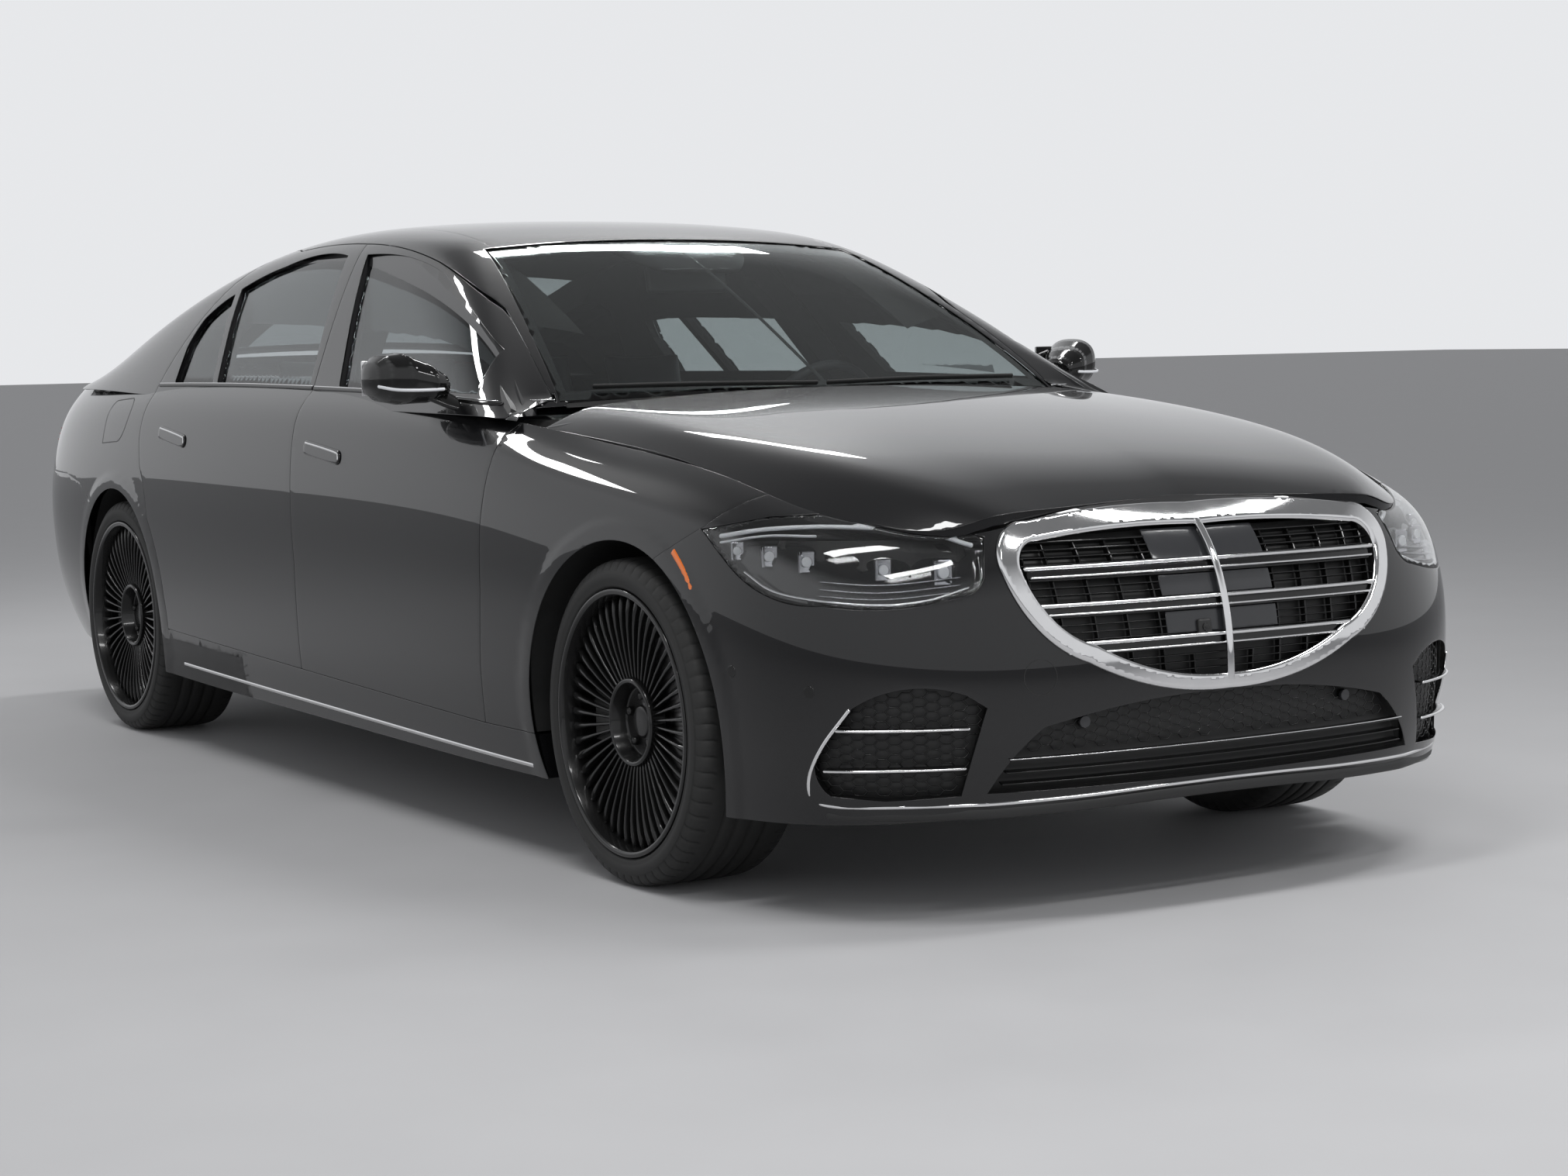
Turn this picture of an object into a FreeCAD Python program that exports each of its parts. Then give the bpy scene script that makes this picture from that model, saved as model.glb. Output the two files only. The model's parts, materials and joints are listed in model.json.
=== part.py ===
import FreeCAD, Part
import math
import os

# Full-size four-door saloon car.
# Frame: +X forward, +Y to the car's left, +Z up; origin on the ground under the middle of the car.
# All lengths are in millimetres.

doc = FreeCAD.newDocument("saloon_car")
sheet = doc.addObject("Spreadsheet::Sheet", "sizes")

# name, value, what it is
SIZES = [
    ("front_overhang", 885, "front axle to the nose"),
    ("wheelbase", 3216, "front axle to rear axle"),
    ("rear_overhang", 1189, "rear axle to the tail"),
    ("body_width", 1926, "over the doors at their widest"),
    ("belt_height", 1050, "ground to the window line"),
    ("overall_height", 1503, "ground to the roof"),
    ("tyre_radius", 352, "loaded rolling radius"),
    ("tyre_width", 265, "section width"),
    ("rim_radius", 286, "bead seat"),
    ("rim_lip", 12, "how far the rim's lip stands above the bead seat"),
    ("wheel_face_y", 934, "car's middle to the wheel's outer face"),
    ("spoke_count", 48, "blades in one wheel"),
    ("spoke_width", 7, "thickness of a blade at the hub"),
    ("spoke_depth", 26, "depth of a blade across the wheel"),
    ("hub_radius", 84, "cup that carries the blades"),
    ("disc_radius", 188, "brake disc"),
    ("disc_width", 30, "brake disc"),
    ("arch_radius", 392, "wheel arch about the axle"),
    ("liner_gap", 20, "wheel arch edge to the liner"),
    ("liner_wall", 6, "wheel arch liner"),
    ("liner_inner_y", 470, "car's middle to the liner's inner wall"),
    ("skin", 7, "door skin and fender wall"),
    ("bumper_wall", 30, "bumper covers and lamps"),
    ("carrier_wall", 16, "panel behind the bumper covers"),
    ("door_depth", 80, "whole door below the window line"),
    ("frame_depth", 40, "window frame of a door"),
    ("glass", 5, "pane thickness"),
    ("glass_inset", 14, "pane behind the frame's face"),
    ("ring_inset", 124, "body side ring behind the outer face"),
    ("ring_depth", 42, "body side ring"),
    ("lid_wall", 18, "bonnet and boot lid"),
    ("panel_gap", 8, "shut line"),
    ("door_inset", 8, "door's inner shell inside its skin's edge"),
    ("seal_width", 30, "how far a door laps the body side ring"),
    ("door_clearance", 8, "window frame to the ring behind it"),
    ("seat_gap", 0.3, "clearance where one piece seats on another"),
    ("pin_gap", 0.1, "a pin's clearance in its ring"),
    ("pin_radius", 5, "door, bonnet and boot hinge pins"),
    ("door_axis_back", 110, "hinge axis behind the door's front edge"),
    ("door_axis_in", 24, "hinge axis inside the door's face"),
    ("floor_height", 218, "ground to the underside of the floor"),
    ("floor_wall", 26, "floor"),
    ("track_pin_y", 801.5, "car's middle to the steering axis"),
    ("steering_radius", 184, "steering wheel rim"),
    ("seat_pitch", 370, "car's middle to a front seat's middle"),
    ("seat_width", 490, "front seat"),
    ("mirror_reach", 1054, "car's middle to the mirror's tip"),
]
for row, (name, value, note) in enumerate(SIZES, 1):
    sheet.set("A%d" % row, name)
    sheet.set("B%d" % row, str(value))
    sheet.set("C%d" % row, note)
    sheet.setAlias("B%d" % row, name)
doc.recompute()


def size(name):
    return float(sheet.get(name))


V = FreeCAD.Vector
front_axle_x = (size("front_overhang") + size("wheelbase") + size("rear_overhang")) / 2 - size("front_overhang")
rear_axle_x = front_axle_x - size("wheelbase")
nose_x = front_axle_x + size("front_overhang")
tail_x = rear_axle_x - size("rear_overhang")
axle_z = size("tyre_radius")
gap = size("panel_gap")
touch = size("seat_gap")
play = size("pin_gap")

# The tables below give the car at these drawing sizes; the sheet stretches them to its own.
DRAWN_X = (-2645, -1456, 1760, 2645)
DRAWN_WIDTH, DRAWN_BELT, DRAWN_ROOF = 1926, 1050, 1503


def along(x):
    made = (tail_x, rear_axle_x, front_axle_x, nose_x)
    for k in range(3):
        if x <= DRAWN_X[k + 1] or k == 2:
            share = (x - DRAWN_X[k]) / (DRAWN_X[k + 1] - DRAWN_X[k])
            return made[k] + share * (made[k + 1] - made[k])


def across(y):
    return y * size("body_width") / DRAWN_WIDTH


def up(z):
    if z <= DRAWN_BELT:
        return z * size("belt_height") / DRAWN_BELT
    share = (z - DRAWN_BELT) / (DRAWN_ROOF - DRAWN_BELT)
    return size("belt_height") + share * (size("overall_height") - size("belt_height"))


def placed(x, y, z):
    return V(along(x), across(y), up(z))


# Body side from the middle of the nose round to the middle of the tail, one row for each section:
# x, y and facing (degrees) of its widest point; sill z and tuck; waist z; shoulder z and tuck; edge z and tuck
WALL = [
    (2650, 0, 0, 228, 26, 470, 700, 50, 826, 172),
    (2648, 190, 2, 228, 26, 470, 700, 50, 822, 158),
    (2632, 400, 8, 225, 28, 465, 690, 48, 804, 98),
    (2590, 600, 25, 216, 32, 470, 690, 50, 756, 72),
    (2470, 800, 48, 206, 38, 490, 720, 48, 792, 135),
    (2290, 893, 70, 198, 40, 520, 765, 40, 820, 130),
    (2060, 925, 83, 192, 38, 560, 800, 32, 878, 130),
    (1760, 940, 88, 190, 36, 590, 830, 26, 915, 140),
    (1400, 954, 90, 190, 32, 610, 880, 22, 952, 150),
    (1050, 962, 90, 190, 30, 620, 930, 22, 996, 80),
    (500, 963, 90, 195, 30, 630, 945, 20, 1035, 88),
    (-50, 963, 90, 200, 30, 640, 950, 20, 1050, 92),
    (-700, 962, 90, 205, 30, 650, 950, 20, 1056, 93),
    (-1250, 955, 90, 215, 30, 660, 955, 22, 1056, 92),
    (-1700, 942, 92, 225, 40, 660, 955, 30, 1052, 105),
    (-2100, 915, 98, 240, 70, 650, 940, 42, 1044, 120),
    (-2400, 860, 112, 255, 95, 640, 920, 55, 1034, 130),
    (-2585, 735, 140, 262, 110, 630, 905, 60, 1034, 125),
    (-2640, 480, 168, 265, 110, 620, 900, 50, 1046, 108),
    (-2655, 200, 177, 265, 110, 620, 900, 50, 1056, 98),
    (-2657, 0, 180, 265, 110, 620, 900, 50, 1058, 96),
]

# Bonnet, one row for each section: middle x, z; crease x, y, z; side edge x, y, z
BONNET = [
    (2478, 826, 2556, 475, 796, 2528, 572, 750),
    (2425, 856, 2480, 540, 830, 2474, 640, 768),
    (2300, 902, 2350, 600, 872, 2350, 730, 794),
    (2080, 950, 2110, 672, 924, 2110, 800, 846),
    (1800, 995, 1810, 712, 966, 1810, 822, 900),
    (1500, 1026, 1500, 722, 998, 1500, 828, 934),
    (1300, 1040, 1310, 725, 1012, 1310, 846, 954),
    (1215, 1046, 1215, 725, 1018, 1215, 862, 962),
]

# Cabin top, one row for each rib: middle x, z; rail x, y, z; window line x, y, z
CABIN = [
    (1190, 1024, 1085, 775, 1012, 1180, 866, 988),
    (1080, 1085, 1000, 762, 1080, 1090, 893, 1004),
    (850, 1208, 790, 722, 1205, 900, 892, 1018),
    (600, 1330, 560, 668, 1322, 650, 885, 1030),
    (345, 1440, 340, 628, 1412, 400, 876, 1040),
    (100, 1488, 100, 612, 1456, 150, 870, 1046),
    (-250, 1506, -250, 612, 1476, -200, 868, 1050),
    (-650, 1500, -650, 622, 1462, -600, 867, 1053),
    (-1000, 1462, -1000, 650, 1415, -950, 867, 1055),
    (-1330, 1385, -1330, 690, 1330, -1280, 868, 1055),
    (-1680, 1265, -1680, 728, 1215, -1600, 862, 1052),
    (-1960, 1134, -1960, 745, 1098, -1900, 845, 1046),
    (-2120, 1098, -2120, 745, 1060, -2100, 815, 1040),
]

# Boot lid's top, one row for each section: x, middle z, side edge y, z
DECK = [
    (-1930, 1132, 820, 1054),
    (-2050, 1104, 806, 1048),
    (-2200, 1092, 782, 1044),
    (-2380, 1084, 732, 1038),
    (-2500, 1076, 670, 1034),
    (-2562, 1064, 600, 1030),
]
# Crown of the boot lid: share of the way out, share of the rise
CROWN = [(0, 1), (0.22, 1), (0.45, 0.97), (0.68, 0.78), (0.86, 0.42), (1, 0)]


def wall_net(inward):
    net = []
    for x, y, facing, low_z, low_in, waist_z, shoulder_z, shoulder_in, top_z, top_in in WALL:
        turn = math.radians(facing)
        levels = [
            (low_z, low_in),
            (low_z + 0.28 * (waist_z - low_z), 0.28 * low_in),
            (waist_z - 0.15 * (waist_z - low_z), 0),
            (waist_z + 0.35 * (shoulder_z - waist_z), 0),
            (shoulder_z, 0.75 * shoulder_in),
            (shoulder_z + 0.62 * (top_z - shoulder_z), shoulder_in + 0.45 * (top_in - shoulder_in)),
            (top_z, top_in),
        ]
        net.append([placed(x, y, z) - V(math.cos(turn), math.sin(turn), 0) * (tuck + inward)
                    for z, tuck in levels])
    return net


def bonnet_net(down):
    net = []
    for xm, zm, xc, yc, zc, xe, ye, ze in BONNET:
        def top(f, g):
            return placed(xm + (xc - xm) * f * f, yc * f, zm + (zc - zm) * g) - V(0, 0, down)

        def fall(f):
            return placed(xc + (xe - xc) * f, yc + (ye - yc) * f, zc + (ze - zc) * f) - V(0, 0, down)
        net.append([top(0, 0), top(0.35, 0), top(0.7, 0.45), top(0.93, 0.8), fall(0.12), fall(0.55), fall(1)])
    return net


def cabin_net(inward):
    net = []
    for xm, zm, xr, yr, zr, xb, yb, zb in CABIN:
        # the first and last rows lie nearly flat, so their wall goes down and not in
        flat = xb in (CABIN[0][5], CABIN[-1][5])

        def side(f, bulge):
            wall_side = V(0, inward * (1 - 0.3 * f), inward * 0.62 * f)
            if flat:
                wall_side = V(0, 0.35 * inward, 0.85 * inward)
            return placed(xb + (xr - xb) * f, yb + (yr - yb) * f + bulge, zb + (zr - zb) * f + 0.4 * bulge) - wall_side
        net.append([
            side(-0.1, 0),
            side(0.35, 14),
            side(0.75, 12),
            placed(xr, yr, zr) - V(0, inward * 0.7, inward * 0.7),
            placed(xr + (xm - xr) * 0.35, yr * 0.72, zr + (zm - zr) * 0.62) - V(0, inward * 0.2, inward),
            placed(xr + (xm - xr) * 0.8, yr * 0.35, zm) - V(0, 0, inward),
            placed(xm, 0, zm) - V(0, 0, inward),
        ])
    return net


def deck_net(down):
    return [[placed(x, ye * f, ze + (zm - ze) * g) - V(0, 0, down) for f, g in CROWN] for x, zm, ye, ze in DECK]


def spline(net):
    """A cubic surface over a net of poles."""
    rows, columns = len(net), len(net[0])
    surface = Part.BSplineSurface()
    surface.buildFromPolesMultsKnots(
        net, [4] + [1] * (rows - 4) + [4], [4] + [1] * (columns - 4) + [4],
        list(range(rows - 2)), list(range(columns - 2)), False, False, 3, 3)
    return surface


def lattice(net, rows, columns):
    """Points of the surface at the given parameters."""
    surface = spline(net)
    return [[surface.value(u, v) for v in columns] for u in rows]


def between(outer, inner, rows, columns):
    """The solid between two surfaces with nets of one size, in flat facets."""
    a, b = lattice(outer, rows, columns), lattice(inner, rows, columns)
    last_row, last_column = len(rows) - 1, len(columns) - 1
    faces = []

    def patch(p, q, r, s):
        for corners in ((p, q, r), (p, r, s)):
            faces.append(Part.Face(Part.makePolygon(list(corners) + [corners[0]])))

    for i in range(last_row):
        for j in range(last_column):
            for grid in (a, b):
                patch(grid[i][j], grid[i + 1][j], grid[i + 1][j + 1], grid[i][j + 1])
        for j in (0, last_column):
            patch(a[i][j], a[i + 1][j], b[i + 1][j], b[i][j])
    for j in range(last_column):
        for i in (0, last_row):
            patch(a[i][j], a[i][j + 1], b[i][j + 1], b[i][j])
    shell = Part.makeShell(faces)
    shell.sewShape()
    solid = Part.makeSolid(shell)
    if solid.Volume < 0:
        solid.reverse()
    return solid


def steps(first, last, step):
    return [first + k * step for k in range(round((last - first) / step) + 1)]


# Parameters of the facets' corners: the ends of the car turn fast and get closer rows
NOSE, SIDE, TAIL = (0, 6), (5, 14), (13, 18)
WALL_LEVELS = [0, 1, 1.7, 2.4, 3, 3.5, 4]
CABIN_LEVELS = [0, 0.8, 1.5, 2.1, 2.8, 4]
CROWN_LEVELS = [0, 0.8, 1.5, 2.1, 3]
BONNET_LEVELS = [0, 1, 2, 2.6, 3.2, 4]


def wall(outer, inner, part=(0, 18)):
    rows = [u for u in steps(0, 6, 0.5) + steps(7, 13, 1) + steps(13.5, 18, 0.5) if part[0] <= u <= part[1]]
    return between(wall_net(outer), wall_net(inner), rows, WALL_LEVELS)


def cabin(outer, inner, part=(0, 10)):
    return between(cabin_net(outer), cabin_net(inner), steps(*part, 0.5), CABIN_LEVELS)


def bonnet_slab(top, under):
    return between(bonnet_net(top), bonnet_net(under), steps(0, 5, 0.5), BONNET_LEVELS)


def deck_slab(top, under):
    return between(deck_net(top), deck_net(under), steps(0, 3, 0.5), CROWN_LEVELS)


def skin_over(rings):
    """A solid with flat facets over rings of points, closed at both ends."""
    faces = [Part.Face(Part.makePolygon(ring + ring[:1])) for ring in (rings[0], rings[-1])]
    for a, b in zip(rings, rings[1:]):
        for k in range(len(a)):
            p, q, r, s = a[k - 1], a[k], b[k], b[k - 1]
            bend = abs((q - p).cross(s - p).normalize().dot(r - p))
            corners = [(p, q, r, s)] if bend < 1e-6 else [(p, q, r), (p, r, s)]
            faces += [Part.Face(Part.makePolygon(list(c) + [c[0]])) for c in corners]
    shell = Part.makeShell(faces)
    shell.sewShape()
    solid = Part.makeSolid(shell)
    if solid.Volume < 0:
        solid.reverse()
    return solid


# Outlines are lists of points; an entry of two points is an arc through the first to the second
def path(points, lift):
    edges = []
    here = points[0]
    for item in points[1:] + [points[0]]:
        if isinstance(item[0], tuple):
            edges.append(Part.Arc(lift(here), lift(item[0]), lift(item[1])).toShape())
            here = item[1]
        elif math.dist(here, item) > 1e-6:
            edges.append(Part.LineSegment(lift(here), lift(item)).toShape())
            here = item
    return Part.Wire(edges)


def run(points, lift, inset, reach):
    """The outline's face, moved in by inset, run along reach."""
    face = Part.Face(path(points, lift))
    if inset:
        face = face.makeOffset2D(-inset, join=2)
    return face.extrude(reach)


def side_prism(points, inset=0.0, y0=-20, y1=1150):
    return run(points, lambda p: V(along(p[0]), y0, up(p[1])), inset, V(0, y1 - y0, 0))


def front_prism(points, x0, x1, inset=0.0):
    return run(points, lambda p: V(along(x0), across(p[0]), up(p[1])), inset, V(along(x1) - along(x0), 0, 0))


def top_prism(points, inset=0.0, z0=100, z1=1700):
    return run(points, lambda p: V(along(p[0]), across(p[1]), z0), inset, V(0, 0, z1 - z0))


HALF = math.sqrt(0.5)


def corner_prism(points, towards, inset=0.0, near=900, far=2900):
    """Drawn (s, z) points run out through a front (1) or rear (-1) corner; s grows outwards from the middle."""
    def lift(p):
        return V(along(towards * (near - p[0]) * HALF), (near + p[0]) * HALF, up(p[1]))
    return run(points, lift, inset, V(towards, 1, 0) * HALF * (far - near))


def mirrored(shape):
    return shape.mirror(V(0, 0, 0), V(0, 1, 0))


def both(shape):
    return shape.fuse(mirrored(shape)).removeSplitter()


def rod(start, direction, length, radius):
    return Part.makeCylinder(radius, length, start, direction)


def block(x0, x1, y0, y1, z0, z1):
    return Part.makeBox(x1 - x0, y1 - y0, z1 - z0, V(x0, y0, z0))


def largest(shape):
    return max(shape.Solids, key=lambda solid: solid.Volume)


nodes = {}


def add(name, shape):
    piece = doc.addObject("Part::Feature", name)
    piece.Label = name
    piece.Shape = shape
    nodes[name] = piece
    return piece


def add_pair(name, shape):
    add(name + "_left", shape)
    add(name + "_right", mirrored(shape))


# Shut lines and openings seen from the side, drawn (x, z) points
ARCH_Z, DOOR_ARCH = 352, 448


def arch_point(radius, z):
    return (-1456 + math.sqrt(radius ** 2 - (z - ARCH_Z) ** 2), z)


def door_bottom(x):
    return (x, 290 + 55 * (1130 - x) / 2090)


MIDDLE_SHUT = [door_bottom(28), (30, 600), (12, 750), (0, 915), (-24, 1048)]
FRONT_SHUT = [(1132, 420), (1150, 600), (1150, 740), (1171, 890), (1166, 1100)]
FRONT_DOOR = [door_bottom(1130)] + FRONT_SHUT + [(-30, 1100)] + MIDDLE_SHUT[::-1]
REAR_DOOR = MIDDLE_SHUT + [(-26, 1100), (-1234, 1100), (-1228, 1000), (-1222, 900), (-1200, 819), (-1165, 769),
                           (-1148, 727), (-1130, 660), (arch_point(DOOR_ARCH, 500), arch_point(DOOR_ARCH, 346))]
FRONT_FRAME = [(1152, 990), (1142, 1006), ((690, 1253), (324, 1372)), ((60, 1417), (-205, 1438)), (-24, 1048),
               (-24, 990)]
REAR_FRAME = [(-24, 990), (-24, 1048), (-205, 1438), ((-450, 1443), (-684, 1434)), ((-1057, 1336), (-1230, 1052)),
              (-1230, 990)]
FRONT_WINDOW = [(139, 1058), (-140, 1408), ((142, 1392), (388, 1344)), ((638, 1250), (872, 1148)), (965, 1044)]
REAR_WINDOW = [(-60, 1062), (-268, 1410), ((-480, 1419), (-689, 1392)), ((-820, 1368), (-940, 1334)), (-752, 1062)]
QUARTER_LIGHT = [(-786, 1062), (-968, 1320), ((-1050, 1290), (-1115, 1250)), ((-1135, 1200), (-1139, 1170)),
                 (-1100, 1062)]
BODY_SIDE = [(1250, 190), (1250, 1040), (1080, 1100), (345, 1480), (-250, 1520), (-1000, 1520), (-1500, 1500),
             (-1500, 190)]
FENDER = [door_bottom(1130)] + FRONT_SHUT + [(2168, 1100), (2168, 862), (2066, 783), (1899, 701), (1760, 352),
                                            (1760, 300), (1400, 290)]
BUMPER_SIDE = [(1899, 701), (2066, 783), (2168, 862), (2168, 1000), (2700, 1000), (2700, 150), (1760, 150),
               (1760, 352)]
REAR_BUMPER = [(-1700, 692), (-1756, 709), (-1833, 748), (-2000, 770), (-2750, 770), (-2750, 150), (-1456, 150),
               (-1456, 352)]
QUARTER = [(-1700, 692), (-1756, 709), (-1833, 748), (-2000, 770), (-2750, 770), (-2750, 1200), (-1050, 1200),
           (-1000, 346), (-1300, 340), (-1456, 352)]

# Half outlines run past the car's middle, so that an inset leaves the two halves joined
MIDLINE = -20

# Lamps, openings in the front cover and lamps at the tail; s is measured across the corner
HEADLAMP = [(-830, 778), (-985, 806), (-1000, 880), (-1420, 880), (-1425, 688), ((-1412, 665), (-1385, 654)),
            ((-1244, 633), (-1122, 640)), ((-1000, 655), (-906, 710))]
SIDE_INTAKE = [(-1173, 436), ((-1300, 480), (-1401, 463)), (-1438, 437), (-1410, 343), (-1385, 262), (-1240, 254),
               (-1129, 262), ((-1100, 300), (-1121, 371))]
LOWER_INTAKE = [(MIDLINE, 262), (MIDLINE, 436), ((260, 424), (440, 392)), ((500, 340), (552, 264))]
GRILLE = [(MIDLINE, 446), (MIDLINE, 802), ((300, 798), (420, 786)), ((478, 765), (496, 700)), ((452, 600), (340, 520)),
          ((180, 462), (MIDLINE, 446))]
GRILLE_HOLE = [(MIDLINE, 466), (MIDLINE, 770), ((300, 768), (410, 758)), ((452, 742), (468, 698)), ((430, 612), (325, 540)),
               ((180, 484), (MIDLINE, 466))]
TAIL_LAMP = [(-1325, 812), (-1325, 922), (-1120, 926), (-1010, 915), (-1075, 858), (-1200, 816)]

# Lids and screens: (x, y) from above and (y, z) from the front
BONNET_EDGE = [(2478, MIDLINE), ((2512, 293), (2526, 463)), ((2500, 570), (2397, 678)), ((2239, 762), (2017, 793)),
               ((1700, 801), (1324, 827)), (1250, 838), (1238, MIDLINE)]
LID_EDGE = [(-1958, MIDLINE), (-1958, 560), ((-1975, 612), (-2030, 622)), (-2700, 600), (-2700, MIDLINE)]
LID_REAR = [(MIDLINE, 700), (540, 700), (600, 800), (600, 1300), (MIDLINE, 1300)]
SCREEN = [(MIDLINE, 1036), ((400, 1034), (712, 1022)), ((636, 1228), (546, 1405)), ((300, 1424), (MIDLINE, 1431))]
REAR_SCREEN = [(MIDLINE, 1152), ((400, 1142), (640, 1118)), ((640, 1250), (560, 1392)), ((300, 1414), (MIDLINE, 1420))]

# The doors' window frames keep outside this line, seen from the front
FRAME_INNER = [(1250, 900), (778, 900), (775, 1010), ((700, 1255), (632, 1392)), (590, 1432), (590, 1550), (1250, 1550)]

half_gap = gap / 2
liner_radius = size("arch_radius") + size("liner_gap")
arch_front = rod(V(front_axle_x, 300, axle_z), V(0, 1, 0), 800, size("arch_radius"))
arch_rear = rod(V(rear_axle_x, 300, axle_z), V(0, 1, 0), 800, size("arch_radius"))
headlamp_space = corner_prism(HEADLAMP, 1, -touch)
tail_lamp_space = corner_prism(TAIL_LAMP, -1, -touch)
FAR_FRONT = (2200, 2900)
FAR_REAR = (-2800, -2300)


# Side panels, left side first
def skin_panel(outline, outer, inner, inset):
    return wall(outer, inner, SIDE).common(side_prism(outline, inset))


def frame_space(outline, inset):
    outer = front_prism(FRAME_INNER, 1300, -1400, inset)
    return side_prism(outline, inset, 500).common(outer)


def window_space(outline, inset):
    return side_prism(outline, inset, 500).common(front_prism(FRAME_INNER, 1300, -1400, 20 + inset))


def hinge_axis(front_edge_x):
    return along(front_edge_x) - size("door_axis_back"), across(962) - size("door_axis_in")


HINGE_Z = (465, 785)
ring_half = 19


def door_hinges(edge_x):
    """Rings on a door: (rings with their arms, pins with their brackets)."""
    x, y = hinge_axis(edge_x)
    rings, pins = [], []
    for z in HINGE_Z:
        ring = rod(V(x, y, z - ring_half), V(0, 0, 1), 2 * ring_half, size("pin_radius") + 4.5)
        arm = block(x - 45, x - 5, y - 9, y + 7, z - ring_half, z + ring_half)
        hole = rod(V(x, y, z - 40), V(0, 0, 1), 80, size("pin_radius") + play)
        rings.append(ring.fuse(arm).cut(hole))
        pin = rod(V(x, y, z - 31), V(0, 0, 1), 62, size("pin_radius"))
        for side in (-1, 1):
            low = z + side * (ring_half + 6) - 5
            pin = pin.fuse(block(x - 12, x + 5, across(963) - size("ring_inset") - 30, y + 2, low, low + 10))
        pins.append(pin)
    return rings, pins


def door(outline, frame, windows, edge_x):
    skin = skin_panel(outline, 0, size("skin"), half_gap)
    shell = skin_panel(outline, size("skin") - 3, size("door_depth"), half_gap + size("door_inset"))
    clear_x = hinge_axis(edge_x)[0] - 40
    shell = shell.cut(block(clear_x, along(edge_x) + 100, 700, 1000, 100, 990))
    shell = largest(shell.cut(cabin(size("frame_depth"), 200, (0, 9))))
    border = largest(cabin(0, size("frame_depth")).common(frame_space(frame, half_gap)))
    whole = skin.fuse(shell).fuse(border)
    for window in windows:
        whole = whole.cut(window_space(window, 0))
    rings, pins = door_hinges(edge_x)
    return whole.multiFuse(rings), pins


front_door, front_pins = door(FRONT_DOOR, FRONT_FRAME, [FRONT_WINDOW], 1150)
rear_door, rear_pins = door(REAR_DOOR, REAR_FRAME, [REAR_WINDOW, QUARTER_LIGHT], 25)

# Handles stand on the doors: front end x, rear end x, height at each, all at the bar's middle
HANDLES = [(330, 91, 880, 905), (-810, -1041, 897, 923)]
handle_half = 11


def handle(x0, x1, z0, z1):
    outline = [(x0, z0 - handle_half), (x0, z0 + handle_half), (x1, z1 + handle_half), (x1, z1 - handle_half)]
    return wall(-7, 4, SIDE).common(side_prism(outline))


add_pair("front_door", front_door.fuse(handle(*HANDLES[0])))
add_pair("rear_door", rear_door.fuse(handle(*HANDLES[1])))

pane = cabin(size("glass_inset"), size("glass_inset") + size("glass"))
add_pair("front_door_glass", pane.common(window_space(FRONT_WINDOW, touch)))
add_pair("rear_door_glass", Part.makeCompound([pane.common(window_space(REAR_WINDOW, touch)),
                                               pane.common(window_space(QUARTER_LIGHT, touch))]))

# Body side ring behind the doors, with the hinge pins
ring_top = size("frame_depth") + size("door_clearance")
ring_low = wall(size("ring_inset"), size("ring_inset") + size("ring_depth"), SIDE)
ring_high = cabin(ring_top, ring_top + 100, (1, 8.5))
lap = half_gap + size("seal_width")
ring_low = ring_low.common(side_prism(BODY_SIDE, 0, 300)).cut(block(-3000, 3000, 0, 1200, up(1040), 2000))
ring_high = ring_high.common(side_prism(BODY_SIDE, 0, 480)).cut(block(-3000, 3000, 0, 1200, 0, up(1010)))
for low, high, edge_x in ((FRONT_DOOR, FRONT_FRAME, 1150), (REAR_DOOR, REAR_FRAME, 25)):
    post = block(hinge_axis(edge_x)[0] - 40, nose_x, 300, 1200, 100, up(982))
    ring_low = ring_low.cut(side_prism(low, lap).cut(post)).cut(side_prism(high, lap))
    ring_high = ring_high.cut(side_prism(low, lap).cut(post)).cut(side_prism(high, lap))
# the rear door's window frame swings in ahead of its hinge
swing_room = cabin(ring_top - 1, ring_top + 26, (2, 6)).common(block(hinge_axis(25)[0] - 60, along(-14), 0, 1200, 900, 1600))
ring_high = ring_high.cut(swing_room)
rear_arch_space = rod(V(rear_axle_x, 466, axle_z), V(0, 1, 0), 500, liner_radius + size("liner_wall") + touch)
ring = ring_low.fuse(ring_high).cut(rear_arch_space).multiFuse(front_pins + rear_pins)
add_pair("side_frame", ring)

# Outer cabin: roof, its sides with the quarter panels, screens
roof_depth = ring_top - touch
shell = cabin(0, roof_depth)
roof_half = across(522)
lid_hinge = V(-1975, 300, 1094)
# the boot lid's front corner swings forward under the deck
lid_sweep = rod(V(lid_hinge.x, 500, lid_hinge.z), V(0, 1, 0), 130, 44)
lid_space = deck_slab(-40, size("lid_wall") + 6).common(top_prism(LID_EDGE, -half_gap, up(930)))
lid_rear_space = front_prism(LID_REAR, *FAR_REAR, -half_gap)
screen_space = front_prism(SCREEN, 1300, 200, -touch)
rear_screen_space = front_prism(REAR_SCREEN, -2050, -700, -touch)

roof = shell.common(block(-2300, 2000, MIDLINE, roof_half, up(1250), 1700))
add("roof", both(largest(largest(roof.cut(screen_space)).cut(rear_screen_space))))

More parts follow.
